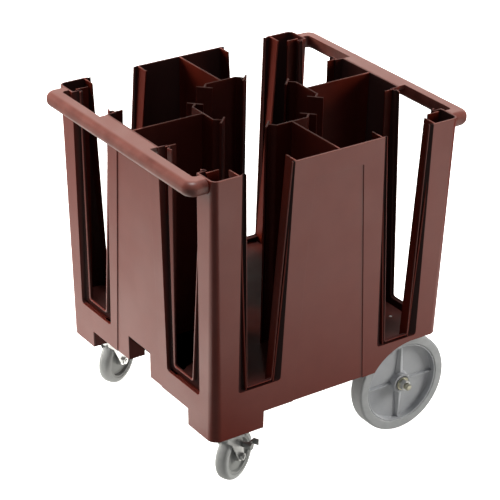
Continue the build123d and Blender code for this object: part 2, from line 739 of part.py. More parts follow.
def caster_fork():
    """Pressed steel fork: a crown and two legs that run down to the wheel's axle."""
    crown_low = CROWN_TOP - CROWN
    fork = block(-FORK_HALF, FORK_HALF, FORK_FRONT, FORK_BACK, crown_low, CROWN_TOP)
    outline = [
        (FORK_FRONT, CROWN_TOP),
        (FORK_BACK, CROWN_TOP),
        (TRAIL + FORK_EYE_R, CASTER_R),
        (TRAIL - FORK_TOE[0], CASTER_R - FORK_TOE[1]),
        (FORK_FRONT + FORK_CHEEK[0], CROWN_TOP - FORK_CHEEK[1]),
        (FORK_FRONT, CROWN_TOP - FORK_NOSE_DROP),
    ]
    for low in (-FORK_HALF, FORK_HALF - FORK_LEG):
        leg = Plane.YZ.offset(low) * make_face(Polyline(*outline, close=True))
        leg = extrude(leg, FORK_LEG, dir=(1, 0, 0))
        fork += leg + cross_rod(FORK_EYE_R, low, low + FORK_LEG, TRAIL, CASTER_R)
    fork -= post_rod(KING_R + RUN_FIT, 0, 0, 0, CROWN_TOP + CUT)
    fork -= cross_rod(CASTER_AXLE_R, -REACH, REACH, TRAIL, CASTER_R)
    fork -= cross_rod(BRAKE_BOLT_R, 0, REACH, BRAKE_Y, BRAKE_Z)
    return fork


def caster_wheel_parts():
    """Tread, moulded core and bush of a caster wheel."""
    half = CASTER_WIDTH / 2
    tread = cross_rod(CASTER_R, -half, half, TRAIL, CASTER_R)
    tread = fillet(tread.edges().filter_by(GeomType.CIRCLE), TREAD_ROUND)
    tread -= cross_rod(TREAD_R, -REACH, REACH, TRAIL, CASTER_R)
    hub_half = FORK_HALF - FORK_LEG - CASTER_HUB_GAP
    core = cross_rod(TREAD_R, -half + CORE_FACE_SET, half - CORE_FACE_SET, TRAIL, CASTER_R)
    for low, high in ((-REACH, -CORE_WEB / 2), (CORE_WEB / 2, REACH)):
        core -= cross_rod(CORE_RING_R, low, high, TRAIL, CASTER_R)
    core += cross_rod(CASTER_HUB_R, -hub_half, hub_half, TRAIL, CASTER_R)
    core -= cross_rod(CASTER_BUSH_R, -REACH, REACH, TRAIL, CASTER_R)
    bush = cross_rod(CASTER_BUSH_R, -hub_half, hub_half, TRAIL, CASTER_R)
    bush -= cross_rod(CASTER_AXLE_R + RUN_FIT, -REACH, REACH, TRAIL, CASTER_R)
    return {"tread": tread, "core": core, "bush": bush}


def caster_axle():
    """Axle bolt and its nut, as separate solids."""
    bolt = cross_rod(CASTER_AXLE_R, -FORK_HALF, FORK_HALF + CASTER_HEAD + CASTER_BOLT_END, TRAIL, CASTER_R)
    bolt += hexagon(CASTER_HEAD_AF, -FORK_HALF - CASTER_HEAD, -FORK_HALF, TRAIL, CASTER_R)
    nut = hexagon(CASTER_HEAD_AF, FORK_HALF, FORK_HALF + CASTER_HEAD, TRAIL, CASTER_R)
    nut -= cross_rod(CASTER_AXLE_R, 0, REACH, TRAIL, CASTER_R)
    return group([bolt, nut])


def caster_brake():
    """Side brake: the lever with its cam tube, and the bolt that it turns on."""
    tube_low = FORK_HALF + END_GAP
    arm_low = tube_low + BRAKE_TUBE
    arm_high = arm_low + BRAKE_ARM
    lever = cross_rod(BRAKE_TUBE_R, tube_low, arm_high, BRAKE_Y, BRAKE_Z)
    half = BRAKE_ARM_WIDTH / 2
    tip_y = BRAKE_Y + BRAKE_ARM_LENGTH
    lever += block(arm_low, arm_high, BRAKE_Y, tip_y, BRAKE_Z - half, BRAKE_Z + half)
    lever += block(arm_low, arm_high + BRAKE_TOE, tip_y - BRAKE_ARM, tip_y, BRAKE_Z - half, BRAKE_Z + half)
    lever -= cross_rod(BRAKE_BOLT_R + RUN_FIT, 0, REACH, BRAKE_Y, BRAKE_Z)
    head_low = arm_high + END_GAP
    bolt = cross_rod(BRAKE_BOLT_R, FORK_HALF - FORK_LEG, head_low, BRAKE_Y, BRAKE_Z)
    bolt += hexagon(BRAKE_HEAD_AF, head_low, head_low + BRAKE_HEAD, BRAKE_Y, BRAKE_Z)
    return lever, bolt


def build_casters():
    """Two swivel casters under the front feet."""
    bolts = []
    for side, sign in (("left", -1), ("right", 1)):
        base = Pos(sign * CASTER_X, CASTER_Y, 0)
        turned = base * Rot(0, 0, CASTER_YAW[side])
        plate, king = caster_fixed_parts()
        export(f"caster_top_plate_{side}", base * plate)
        export(f"caster_kingpin_{side}", base * king)
        export(f"caster_fork_{side}", turned * caster_fork())
        for name, solid in caster_wheel_parts().items():
            export(f"caster_wheel_{name}_{side}", turned * solid)
        export(f"caster_axle_bolt_{side}", turned * caster_axle())
        lever, bolt = caster_brake()
        export(f"caster_brake_lever_{side}", turned * lever)
        export(f"caster_brake_bolt_{side}", turned * bolt)
        for x in (-PLATE_BOLT_X, PLATE_BOLT_X):
            for y in (-PLATE_BOLT_Y, PLATE_BOLT_Y):
                head_top = FOOT_UNDERSIDE - PLATE
                screw = hexagon_up(BOLT_HEAD_AF, x, y, head_top - BOLT_HEAD, head_top)
                screw += post_rod(BOLT_R, x, y, head_top, FOOT_UNDERSIDE + FOOT_FLOOR)
                bolts.append(base * screw)
    export("caster_plate_bolts", group(bolts))


def main():
    os.makedirs("parts", exist_ok=True)
    shell = make_shell()
    build_skirt(shell)
    build_uprights(shell)
    build_deck()
    build_notch()
    build_caster_boxes()
    build_wells()
    build_dividers()
    build_handles()
    build_rear_wheels()
    build_brackets()
    build_casters()


main()
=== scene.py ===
import logging
import math
from dataclasses import dataclass
from enum import Enum

import bmesh
import bpy
from mathutils import Matrix, Vector


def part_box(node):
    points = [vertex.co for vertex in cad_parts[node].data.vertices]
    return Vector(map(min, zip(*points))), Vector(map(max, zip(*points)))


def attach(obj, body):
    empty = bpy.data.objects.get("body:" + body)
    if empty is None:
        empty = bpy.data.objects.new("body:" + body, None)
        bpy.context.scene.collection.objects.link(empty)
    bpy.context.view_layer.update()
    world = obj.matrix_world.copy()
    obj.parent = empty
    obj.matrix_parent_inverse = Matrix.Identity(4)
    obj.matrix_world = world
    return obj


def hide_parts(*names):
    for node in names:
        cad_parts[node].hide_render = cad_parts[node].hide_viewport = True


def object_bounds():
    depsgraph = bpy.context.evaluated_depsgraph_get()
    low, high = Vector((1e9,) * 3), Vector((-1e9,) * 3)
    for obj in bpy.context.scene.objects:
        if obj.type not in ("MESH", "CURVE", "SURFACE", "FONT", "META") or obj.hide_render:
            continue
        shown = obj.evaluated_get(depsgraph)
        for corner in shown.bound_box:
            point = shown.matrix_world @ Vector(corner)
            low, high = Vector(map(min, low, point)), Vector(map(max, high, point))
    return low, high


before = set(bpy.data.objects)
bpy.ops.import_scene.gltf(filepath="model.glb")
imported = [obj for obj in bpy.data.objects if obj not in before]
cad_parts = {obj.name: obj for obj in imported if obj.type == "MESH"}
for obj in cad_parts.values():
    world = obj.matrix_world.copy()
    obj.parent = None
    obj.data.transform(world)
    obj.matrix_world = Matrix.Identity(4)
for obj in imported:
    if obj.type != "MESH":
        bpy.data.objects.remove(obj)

LOG = logging.getLogger("plate_cart")
CAD_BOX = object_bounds()
MM = 0.001
CART = "cart"
Point = tuple[float, float]
Span = tuple[float, float]
Triple = tuple[float, float, float]
Colour = Triple
Profile = list[Point]
Socket = bpy.types.NodeSocket
Feeds = dict[str | int, object]

CASTER_X = 266.0
CASTER_Y = -252.0
NOISE_SPAN: Span = (0.3, 0.7)
# Where the Mix node keeps its factor and two colours, and its mixed colour.
MIX_INPUTS = (0, 6, 7)
MIX_RESULT = 2
# Steps round a turned piece.
WHEEL_STEPS = 96
RING_STEPS = 64
AXLE_STEPS = 48
SHANK_STEPS = 32
# Degrees above which an edge stays sharp.
METAL_ANGLE = 30.0
MOULDED_ANGLE = 32.0
SOFT_ANGLE = 40.0
TYRE_ANGLE = 50.0


class Side(Enum):
    """The cart's left or right hand."""

    LEFT = "left"
    RIGHT = "right"

    @property
    def sign(self) -> int:
        """-1 on the left, 1 on the right."""
        return -1 if self is Side.LEFT else 1


class Face(Enum):
    """One face of the body, named from its end."""

    FRONT = "front"
    RIGHT = "right"
    REAR = "rear"
    LEFT = "left"


# ---------------------------------------------------------------- finishes
class Wiring:
    """Short hand for a node tree."""

    tree: bpy.types.NodeTree

    def feed(self, node: bpy.types.Node, feeds: Feeds) -> None:
        """Link or set inputs of a node.

        Args:
            node: The node.
            feeds: Input name or place to a socket or a value.
        """
        for key, value in feeds.items():
            if isinstance(value, Socket):
                self.tree.links.new(value, node.inputs[key])
            else:
                node.inputs[key].default_value = value

    def add(self, kind: str, feeds: Feeds | None = None, **settings: object) -> bpy.types.Node:
        """Add a node and feed its inputs.

        Args:
            kind: Blender's node type.
            feeds: Input name or place to a socket or a value.
            settings: Properties set on the node.

        Returns:
            The node.
        """
        node = self.tree.nodes.new(kind)
        for key, value in settings.items():
            setattr(node, key, value)
        self.feed(node, feeds or {})
        return node


class Nodes(Wiring):
    """Short hand for a material's node tree."""

    def __init__(self, name: str) -> None:
        """Start a material.

        Args:
            name: The material's name.
        """
        self.material = bpy.data.materials.new(name)
        self.material.use_nodes = True
        self.tree = self.material.node_tree
        self.shader = self.tree.nodes["Principled BSDF"]
        self.where = self.add("ShaderNodeTexCoord").outputs["Object"]

    def noise(self, scale: float, detail: float, stretch: Triple = (1, 1, 1)) -> Socket:
        """Noise on the piece's own coordinates.

        Args:
            scale: Cells to the metre.
            detail: Octaves.
            stretch: Factor on each axis, for grain that runs one way.

        Returns:
            The noise's value.
        """
        mapping = self.add("ShaderNodeMapping", {"Scale": stretch, "Vector": self.where})
        feeds = {"Scale": scale, "Detail": detail, "Vector": mapping.outputs["Vector"]}
        return self.add("ShaderNodeTexNoise", feeds).outputs["Fac"]

    def spread(
        self, value: Socket, low: float, high: float, to_low: float | Socket, to_high: float,
    ) -> Socket:
        """Map a range of a value to another range.

        Args:
            value: What is mapped.
            low: Its low end.
            high: Its high end.
            to_low: What the low end becomes.
            to_high: What the high end becomes.

        Returns:
            The mapped value.
        """
        feeds = {"Value": value, "From Min": low, "From Max": high, "To Min": to_low, "To Max": to_high}
        return self.add("ShaderNodeMapRange", feeds).outputs["Result"]

    def blend(self, factor: Socket, first: Colour, second: Colour) -> Socket:
        """Blend two colours.

        Args:
            factor: 0 gives the first colour, 1 the second.
            first: Red, green and blue.
            second: Red, green and blue.

        Returns:
            The blended colour.
        """
        node = self.add("ShaderNodeValToRGB", {"Fac": factor})
        for element, colour in zip(node.color_ramp.elements, (first, second)):
            element.color = (*colour, 1)
        return node.outputs["Color"]

    def height(self) -> Socket:
        """Height above the floor, in metres."""
        return self.add("ShaderNodeSeparateXYZ", {"Vector": self.where}).outputs["Z"]

    def recess(self) -> Socket:
        """How much painted shade the surface gets, from the piece's own attribute."""
        return self.add("ShaderNodeAttribute", attribute_name="recess").outputs["Fac"]

    def over(self, factor: Socket, colour: Socket, cover: Colour) -> Socket:
        """Lay a plain colour over another.

        Args:
            factor: How much of it shows.
            colour: What lies below.
            cover: Red, green and blue of the upper colour.

        Returns:
            The covered colour.
        """
        feeds = dict(zip(MIX_INPUTS, (factor, colour, (*cover, 1))))
        return self.add("ShaderNodeMix", feeds, data_type="RGBA").outputs[MIX_RESULT]

    def bump(self, layers: list[tuple[Socket, float]]) -> None:
        """Stack height layers on the surface.

        Args:
            layers: Each layer's height value and its depth in metres.
        """
        last: Feeds = {}
        for height, depth in layers:
            node = self.add("ShaderNodeBump", {"Distance": depth, "Height": height} | last)
            last = {"Normal": node.outputs["Normal"]}
        self.feed(self.shader, last)


@dataclass(frozen=True)
class Finish:
    """What every finish has: a name, its darkest and palest colour and its range of roughness."""

    name: str
    deep: Colour
    pale: Colour
    roughness: Span


@dataclass(frozen=True)
class MouldedPlastic(Finish):
    """Moulded plastic with a fine grain, faint mottling and handling scuffs, painted shade in grooves and
    inside the body, and a painted highlight along top edges.
    """

    gloss: float = 0.5
    scuff: float = 0.00004
    scuff_noise: Span = (260.0, 3.0)
    scuff_stretch: Triple = (0.07, 0.07, 1.0)
    grain: float = 0.00006
    grain_noise: Span = (900.0, 2.0)
    mottle_noise: Span = (26.0, 5.0)
    cloud_noise: Span = (9.0, 4.0)
    # Painted shade: the dark colour laid on where the recess attribute is set, and the roughness there.
    painted_recess_shade: Colour = (0.019, 0.0018, 0.001)
    recess_roughness: float = 1.0
    # Painted highlight: a paler colour along top edges, fading in between these heights in metres.
    top_highlight: Colour = (0.2, 0.062, 0.048)
    top_highlight_z: Span = (0.8206, 0.8216)

    def material(self) -> bpy.types.Material:
        """Build the finish.

        Returns:
            The material.
        """
        nodes = Nodes(self.name)
        cloud = nodes.noise(*self.cloud_noise)
        mottle = nodes.noise(*self.mottle_noise)
        grain = nodes.noise(*self.grain_noise)
        scratch = nodes.noise(*self.scuff_noise, self.scuff_stretch)
        colour = nodes.blend(nodes.spread(mottle, *NOISE_SPAN, 0.0, 1.0), self.deep, self.pale)
        # Painted highlight along the top edges, then painted shade where the recess attribute is set.
        top = nodes.spread(nodes.height(), *self.top_highlight_z, 0.0, 1.0)
        colour = nodes.over(nodes.recess(), nodes.over(top, colour, self.top_highlight), self.painted_recess_shade)
        satin = nodes.spread(cloud, *NOISE_SPAN, *self.roughness)
        dulled = nodes.spread(nodes.recess(), 0.0, 1.0, satin, self.recess_roughness)
        nodes.feed(nodes.shader, {
            "Base Color": colour, "Roughness": dulled, "Specular IOR Level": self.gloss,
        })
        nodes.bump([(grain, self.grain), (scratch, self.scuff)])
        return nodes.material


@dataclass(frozen=True)
class Rubber(Finish):
    """Solid rubber or soft polymer, slightly dusty."""

    dust_noise: Span = (34.0, 6.0)
    dust_span: Span = (0.35, 0.68)
    dust_depth: float = 0.00012
    fleck_noise: Span = (520.0, 2.0)
    fleck_depth: float = 0.00008

    def material(self) -> bpy.types.Material:
        """Build the finish.

        Returns:
            The material.
        """
        nodes = Nodes(self.name)
        dust = nodes.noise(*self.dust_noise)
        fleck = nodes.noise(*self.fleck_noise)
        colour = nodes.blend(nodes.spread(dust, *self.dust_span, 0.0, 1.0), self.deep, self.pale)
        satin = nodes.spread(dust, *NOISE_SPAN, *self.roughness)
        nodes.feed(nodes.shader, {"Base Color": colour, "Roughness": satin})
        nodes.bump([(fleck, self.fleck_depth), (dust, self.dust_depth)])
        return nodes.material


@dataclass(frozen=True)
class PlatedSteel(Finish):
    """Zinc plated or dark steel with a faint spangle."""

    spangle: float = 210.0
    spangle_span: Span = (0.0, 0.9)
    film_noise: Span = (70.0, 5.0)
    film_depth: float = 0.00005

    def material(self) -> bpy.types.Material:
        """Build the finish.

        Returns:
            The material.
        """
        nodes = Nodes(self.name)
        cells = nodes.add("ShaderNodeTexVoronoi", {"Scale": self.spangle, "Vector": nodes.where})
        film = nodes.noise(*self.film_noise)
        satin = nodes.spread(cells.outputs["Distance"], *self.spangle_span, *self.roughness)
        colour = nodes.blend(film, self.deep, self.pale)
        nodes.feed(nodes.shader, {"Base Color": colour, "Roughness": satin, "Metallic": 1.0})
        nodes.bump([(film, self.film_depth)])
        return nodes.material


FINISHES = {finish.name: finish for finish in (
    MouldedPlastic("body_plastic", (0.124, 0.0135, 0.0065), (0.136, 0.0165, 0.0085), (0.34, 0.42)),
    # Paler, more scuffed copy of the body plastic, for the push bars.
    MouldedPlastic(
        "paler_bar_plastic", (0.105, 0.023, 0.016), (0.185, 0.055, 0.042), (0.34, 0.5), scuff=0.00014,
    ),
    # Darker, less glossy copy of the body plastic for the inside of the body: painted shade.
    MouldedPlastic("inner_painted_shade", (0.07, 0.008, 0.004), (0.08, 0.0095, 0.005), (0.5, 0.6), gloss=0.12),
    # Darker, rougher copy of the body plastic for the deck: painted shade.
    MouldedPlastic("deck_painted_shade", (0.075, 0.009, 0.005), (0.095, 0.013, 0.007), (0.62, 0.74)),
    Rubber("tyre_grey", (0.36, 0.375, 0.395), (0.43, 0.445, 0.465), (0.48, 0.66)),
    MouldedPlastic("wheel_grey", (0.37, 0.385, 0.42), (0.43, 0.445, 0.475), (0.34, 0.48)),
    Rubber("tread_grey", (0.36, 0.375, 0.38), (0.45, 0.465, 0.47), (0.42, 0.6)),
    MouldedPlastic("core_grey", (0.24, 0.25, 0.25), (0.31, 0.32, 0.32), (0.38, 0.52)),
    MouldedPlastic("bush_nylon", (0.62, 0.6, 0.54), (0.7, 0.68, 0.62), (0.35, 0.45)),
    PlatedSteel("yellow_zinc", (0.56, 0.535, 0.4), (0.74, 0.72, 0.58), (0.3, 0.48)),
    PlatedSteel("zinc_steel", (0.66, 0.67, 0.67), (0.82, 0.83, 0.83), (0.26, 0.46)),
    PlatedSteel("dark_steel", (0.4, 0.41, 0.41), (0.54, 0.55, 0.55), (0.34, 0.5)),
)}


class Workshop:
    """Makes pieces out of meshes, gives them their finish and sets them on their body."""

    round_faces = 2
    round_angle = 28.0
    face_weight = 80
    join_gap = 0.02
    flat_angle = 0.4

    def __init__(self) -> None:
        """Mix every finish once."""
        self.materials = {slot: finish.material() for slot, finish in FINISHES.items()}

    def piece(self, name: str, mesh: bpy.types.Mesh) -> bpy.types.Object:
        """Put a mesh in the scene.

        Args:
            name: The piece's name.
            mesh: Its mesh, in metres, where it stands on the cart.

        Returns:
            The piece.
        """
        mesh.name = name
        made = bpy.data.objects.new(name, mesh)
        bpy.context.scene.collection.objects.link(made)
        return made

    def from_bmesh(self, name: str, shape: bmesh.types.BMesh) -> bpy.types.Object:
        """Turn a bmesh into a piece.

        Args:
            name: The piece's name.
            shape: What was built. It is freed.

        Returns:
            The piece.
        """
        mesh = bpy.data.meshes.new(name)
        shape.to_mesh(mesh)
        shape.free()
        return self.piece(name, mesh)

    def settle(self, made: bpy.types.Object) -> None:
        """Replace a piece's mesh with what its modifiers make of it, and drop them.

        Args:
            made: The piece.
        """
        graph = bpy.context.evaluated_depsgraph_get()
        mesh = bpy.data.meshes.new_from_object(made.evaluated_get(graph), depsgraph=graph)
        made.modifiers.clear()
        made.data = mesh

    def soften(self, made: bpy.types.Object, width: float) -> None:
        """Round a piece's sharp edges.

        Args:
            made: The piece.
            width: Width of the rounding in millimetres.
        """
        bevel = made.modifiers.new("round", "BEVEL")
        bevel.width = width * MM
        bevel.segments = self.round_faces
        bevel.limit_method = "ANGLE"
        bevel.angle_limit = math.radians(self.round_angle)
        bevel.use_clamp_overlap = False
        bevel.miter_outer = "MITER_ARC"
        self.settle(made)
        self.shade(made, SOFT_ANGLE)

    def shade(self, made: bpy.types.Object, angle: float) -> None:
        """Smooth shading that keeps edges sharper than the angle.

        Args:
            made: The piece.
            angle: Degrees between two faces.
        """
        made.data.shade_smooth()
        made.data.set_sharp_from_angle(angle=math.radians(angle))
        weigh = made.modifiers.new("weigh", "WEIGHTED_NORMAL")
        weigh.keep_sharp = True
        weigh.weight = self.face_weight
        self.settle(made)

    def dress(
        self, made: bpy.types.Object, slot: str, body: str, replaced: tuple[str, ...] = (), finish: str = "",
    ) -> None:
        """Give a piece its finish and its body.

        Args:
            made: The piece.
            slot: The record's material slot.
            body: The body that it rides on.
            replaced: The CAD nodes that it stands for.
            finish: Another copy of the slot's finish, if it has one; the darker copies carry painted shade.
        """
        made.data.materials.clear()
        made.data.materials.append(self.materials[finish or slot])
        for face in made.data.polygons:
            face.material_index = 0
        if replaced:
            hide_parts(*replaced)
        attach(made, body)
        LOG.info("%s rides on %s", made.name, body)

    def merged(self, node: str) -> bmesh.types.BMesh:
        """Copy of a CAD node with its loose triangles joined and its flats whole.

        Args:
            node: The node's name.

        Returns:
            The copy.
        """
        shape = bmesh.new()
        shape.from_mesh(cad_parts[node].data)
        bmesh.ops.remove_doubles(shape, verts=shape.verts, dist=self.join_gap * MM)
        flat = math.radians(self.flat_angle)
        bmesh.ops.dissolve_limit(shape, angle_limit=flat, verts=shape.verts, edges=shape.edges, delimit=set())
        return shape

    def make(
        self, name: str, shape: bmesh.types.BMesh, angle: float, slot: str, body: str, *replaced: str,
    ) -> None:
        """Turn a bmesh into a piece, shade it and dress it.

        Args:
            name: The piece's name.
            shape: What was built. It is freed.
            angle: Edges sharper than this many degrees stay sharp.
            slot: The record's material slot.
            body: The body that it rides on.
            replaced: The CAD nodes that it stands for.
        """
        made = self.from_bmesh(name, shape)
        self.shade(made, angle)
        self.dress(made, slot, body, replaced)

    def copy(self, name: str, node: str, width: float, slot: str, body: str, finish: str = "") -> None:
        """Copy a CAD node with rounded edges and dress the copy.

        Args:
            name: The piece's name.
            node: The node that is copied.
            width: Width of the rounding in millimetres.
            slot: The record's material slot.
            body: The body that it rides on.
            finish: Another copy of the slot's finish, if it has one; the darker copies carry painted shade.
        """
        made = self.from_bmesh(name, self.merged(node))
        self.soften(made, width)
        self.dress(made, slot, body, (node,), finish)

    def keep(self, node: str, slot: str) -> None:
        """Show a CAD node as it is, with its finish.

        Args:
            node: The node's name.
            slot: The record's material slot.
        """
        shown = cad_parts[node]
        for index in range(len(shown.material_slots)):
            shown.material_slots[index].material = self.materials[slot]


def on_circle(along: float, radius: float, turn: float) -> Triple:
    """Point round the X axis, given in millimetres and returned in metres."""
    return along * MM, radius * MM * math.cos(turn), radius * MM * math.sin(turn)


def skin(shape: bmesh.types.BMesh, first: list, second: list, closed: bool = False) -> None:
    """Put faces between two matching rows of vertices.

    Args:
        shape: Where they are drawn.
        first: One row.
        second: The other row.
        closed: Whether the rows are rings.
    """
    count = len(first)
    for index in range(count if closed else count - 1):
        after = (index + 1) % count
        corners = list(dict.fromkeys((first[index], first[after], second[after], second[index])))
        if len(corners) > 2:
            shape.faces.new(corners)


def turned(profile: Profile, place: Matrix, segments: int = WHEEL_STEPS) -> bmesh.types.BMesh:
    """Turn a closed profile about the X axis.

    Args:
        profile: Points (along the axis, radius) in millimetres, in order round the section.
        place: Where the turned shape goes, in metres.
        segments: Steps round the axis.

    Returns:
        The shape, with its faces outward.
    """
    shape = bmesh.new()
    rings = []
    for along, radius in profile:
        if radius == 0:
            rings.append([shape.verts.new(on_circle(along, 0, 0))] * segments)
        else:
            turns = [2 * math.pi * step / segments for step in range(segments)]
            rings.append([shape.verts.new(on_circle(along, radius, turn)) for turn in turns])
    for first, second in zip(rings, rings[1:] + rings[:1]):
        skin(shape, first, second, closed=True)
    bmesh.ops.recalc_face_normals(shape, faces=shape.faces)
    shape.transform(place)
    return shape


def rounded(corner: Point, before: Point, after: Point, radius: float, steps: int) -> Profile:
    """Points of a rounded profile corner.

    Args:
        corner: The sharp corner.
        before: The profile's point before it.
        after: The point after it.
        radius: How far the rounding reaches along both sides.
        steps: Points in the rounding, less one.

    Returns:
        The points, in order.
    """
    middle = Vector(corner)
    start = middle + (Vector(before) - middle).normalized() * radius
    end = middle + (Vector(after) - middle).normalized() * radius
    found = []
    for step in range(steps + 1):
        part = step / steps
        point = start * (1 - part) ** 2 + middle * 2 * part * (1 - part) + end * part ** 2
        found.append((point.x, point.y))
    return found


def soft_profile(corners: list[Triple], steps: int = 4) -> Profile:
    """Closed profile whose corners are rounded.

    Args:
        corners: Points (along, radius, rounding), in order round the section.
        steps: Points in each rounding, less one.

    Returns:
        The profile.
    """
    found = []
    count = len(corners)
    for index, (along, radius, rounding) in enumerate(corners):
        before = corners[index - 1]
        after = corners[(index + 1) % count]
        if rounding:
            found += rounded((along, radius), before[:2], after[:2], rounding, steps)
        else:
            found.append((along, radius))
    return found


def symmetric(side: list[Triple]) -> Profile:
    """Closed profile with rounded corners, the same on both sides of a wheel's plane.

    Args:
        side: Points (along, radius, rounding) of one side.

    Returns:
        The profile.
    """
    return soft_profile(side + [(-along, radius, rounding) for along, radius, rounding in reversed(side)])


# ---------------------------------------------------------------- Geometry Nodes
class GeometryTree(Wiring):
    """Short hand for a Geometry Nodes tree with named inputs."""

    def __init__(self, name: str) -> None:
        """Start a tree.

        Args:
            name: The tree's name.
        """
        self.tree = bpy.data.node_groups.new(name, "GeometryNodeTree")
        self.tree.interface.new_socket("Geometry", in_out="INPUT", socket_type="NodeSocketGeometry")
        self.tree.interface.new_socket("Geometry", in_out="OUTPUT", socket_type="NodeSocketGeometry")
        self.identifiers: dict[str, str] = {}
        self.inputs = self.tree.nodes.new("NodeGroupInput")
        self.outputs = self.tree.nodes.new("NodeGroupOutput")

    def size(self, name: str, kind: str) -> None:
        """Add a named input.

        Args:
            name: The input's name.
            kind: Its socket type.
        """
        socket = self.tree.interface.new_socket(name, in_out="INPUT", socket_type=kind)
        self.identifiers[name] = socket.identifier

    def finish(self, last: Socket) -> None:
        """End the tree in Realize Instances and Set Material.

        Args:
            last: The geometry to end with.
        """
        self.size("Finish", "NodeSocketMaterial")
        real = self.add("GeometryNodeRealizeInstances", {"Geometry": last})
        feeds = {"Geometry": real.outputs[0], "Material": self.inputs.outputs["Finish"]}
        self.feed(self.outputs, {"Geometry": self.add("GeometryNodeSetMaterial", feeds).outputs[0]})

    def use(self, made: bpy.types.Object, values: dict[str, object]) -> None:
        """Put the tree on a piece.

        Args:
            made: The piece.
            values: Input name to its value.
        """
        modifier = made.modifiers.new(self.tree.name, "NODES")
        modifier.node_group = self.tree
        for name, value in values.items():
            modifier[self.identifiers[name]] = value


class SpokeTree(GeometryTree):
    """Repeats one spoke round the X axis."""

    def __init__(self) -> None:
        """Build the tree."""
        super().__init__("spokes_round_hub")
        self.size("Count", "NodeSocketInt")
        self.size("Turn", "NodeSocketFloat")
        given = self.inputs.outputs
        line = self.add("GeometryNodeMeshLine", {"Count": given["Count"], "Offset": (0, 0, 0)})
        index = self.add("GeometryNodeInputIndex")
        step = self.add("ShaderNodeMath", {0: 2 * math.pi, 1: given["Count"]}, operation="DIVIDE")
        feeds = {0: index.outputs[0], 1: step.outputs[0], 2: given["Turn"]}
        turn = self.add("ShaderNodeMath", feeds, operation="MULTIPLY_ADD")
        angle = self.add("ShaderNodeCombineXYZ", {"X": turn.outputs[0]})
        copies = self.add("GeometryNodeInstanceOnPoints", {
            "Points": line.outputs["Mesh"], "Instance": given["Geometry"], "Rotation": angle.outputs[0],
        })
        self.finish(copies.outputs[0])


class BoltTree(GeometryTree):
    """Sets one bolt on a grid of holes, on both sides of the cart."""

    most_twist = math.pi / 3

    def __init__(self) -> None:
        """Build the tree."""
        super().__init__("bolts_on_holes")
        for name in ("Side", "Middle Y", "Seat Z", "Pitch X", "Pitch Y"):
            self.size(name, "NodeSocketFloat")
        for name in ("Count X", "Count Y", "Seed"):
            self.size(name, "NodeSocketInt")
        given = self.inputs.outputs
        grid = self.add("GeometryNodeMeshGrid", {
            "Size X": given["Pitch X"],
            "Size Y": given["Pitch Y"],
            "Vertices X": given["Count X"],
            "Vertices Y": given["Count Y"],
        })
        halves = []
        for sign in (-1.0, 1.0):
            offset = self.add("ShaderNodeMath", {0: given["Side"], 1: sign}, operation="MULTIPLY")
            feeds = {"X": offset.outputs[0], "Y": given["Middle Y"], "Z": given["Seat Z"]}
            move = self.add("ShaderNodeCombineXYZ", feeds)
            feeds = {"Geometry": grid.outputs["Mesh"], "Translation": move.outputs[0]}
            halves.append(self.add("GeometryNodeTransform", feeds))
        both = self.add("GeometryNodeJoinGeometry")
        for half in halves:
            self.feed(both, {0: half.outputs[0]})
        twist = self.add("FunctionNodeRandomValue", {"Seed": given["Seed"]}, data_type="FLOAT")
        for socket in twist.inputs:
            if socket.name == "Max" and socket.type == "VALUE":
                socket.default_value = self.most_twist
        turn = self.add("ShaderNodeCombineXYZ", {"Z": twist.outputs[1]})
        copies = self.add("GeometryNodeInstanceOnPoints", {
            "Points": both.outputs[0], "Instance": given["Geometry"], "Rotation": turn.outputs[0],
        })
        self.finish(copies.outputs[0])


# ---------------------------------------------------------------- body wall
@dataclass(frozen=True)
class Leaning:
    """A distance from the middle of a face that changes evenly with height."""

    high: float
    low: float
    high_z: float = 800.0
    low_z: float = 280.0

    def at(self, z: float) -> float:
        """The distance at height z, in millimetres."""
        return self.high + (self.low - self.high) * (self.high_z - z) / (self.high_z - self.low_z)


@dataclass(frozen=True)
class SlotShape:
    """Outline of a tall slot on one half of a face: where the face ends and where the opening starts."""

    panel_edge: Leaning
    panel_rim: Leaning
    post_rim: Leaning
    post_edge: Leaning
    sill_edge: float
    sill_rim: float
    edge_round: float
    rim_round: float
    panel_lip: Leaning = Leaning(0, 0)
    post_lip: Leaning = Leaning(0, 0)


class Wall(Enum):
    """Which pair of faces a wall belongs to."""

    END = "end"
    FLANK = "flank"


SLOTS = {
    Wall.END: SlotShape(
        panel_edge=Leaning(111, 127),
        panel_rim=Leaning(138, 156.5),
        post_rim=Leaning(255, 229),
        post_edge=Leaning(267, 265),
        sill_edge=262,
        sill_rim=287,
        edge_round=11,
        rim_round=7,
        panel_lip=Leaning(14, 6),
        post_lip=Leaning(5, 5),
    ),
    Wall.FLANK: SlotShape(
        panel_edge=Leaning(124, 139),
        panel_rim=Leaning(131, 164),
        post_rim=Leaning(250, 230),
        post_edge=Leaning(262, 256),
        sill_edge=274,
        sill_rim=281,
        edge_round=8,
        rim_round=5,
    ),
}

# Points of a border's section that get the full painted shade of a groove.
GROOVES = {Wall.END: (1, 2), Wall.FLANK: (1, 2, 3, 4, 5)}

# A flank border's section: share of its width, and depth where it is dish_width wide or more.
DISH = ((0, 0), (0.03, 0.6), (0.64, 12.0), (0.7, 12.2), (0.75, 11.2), (0.9, 2.6), (0.94, 1.6), (1, 2.0))


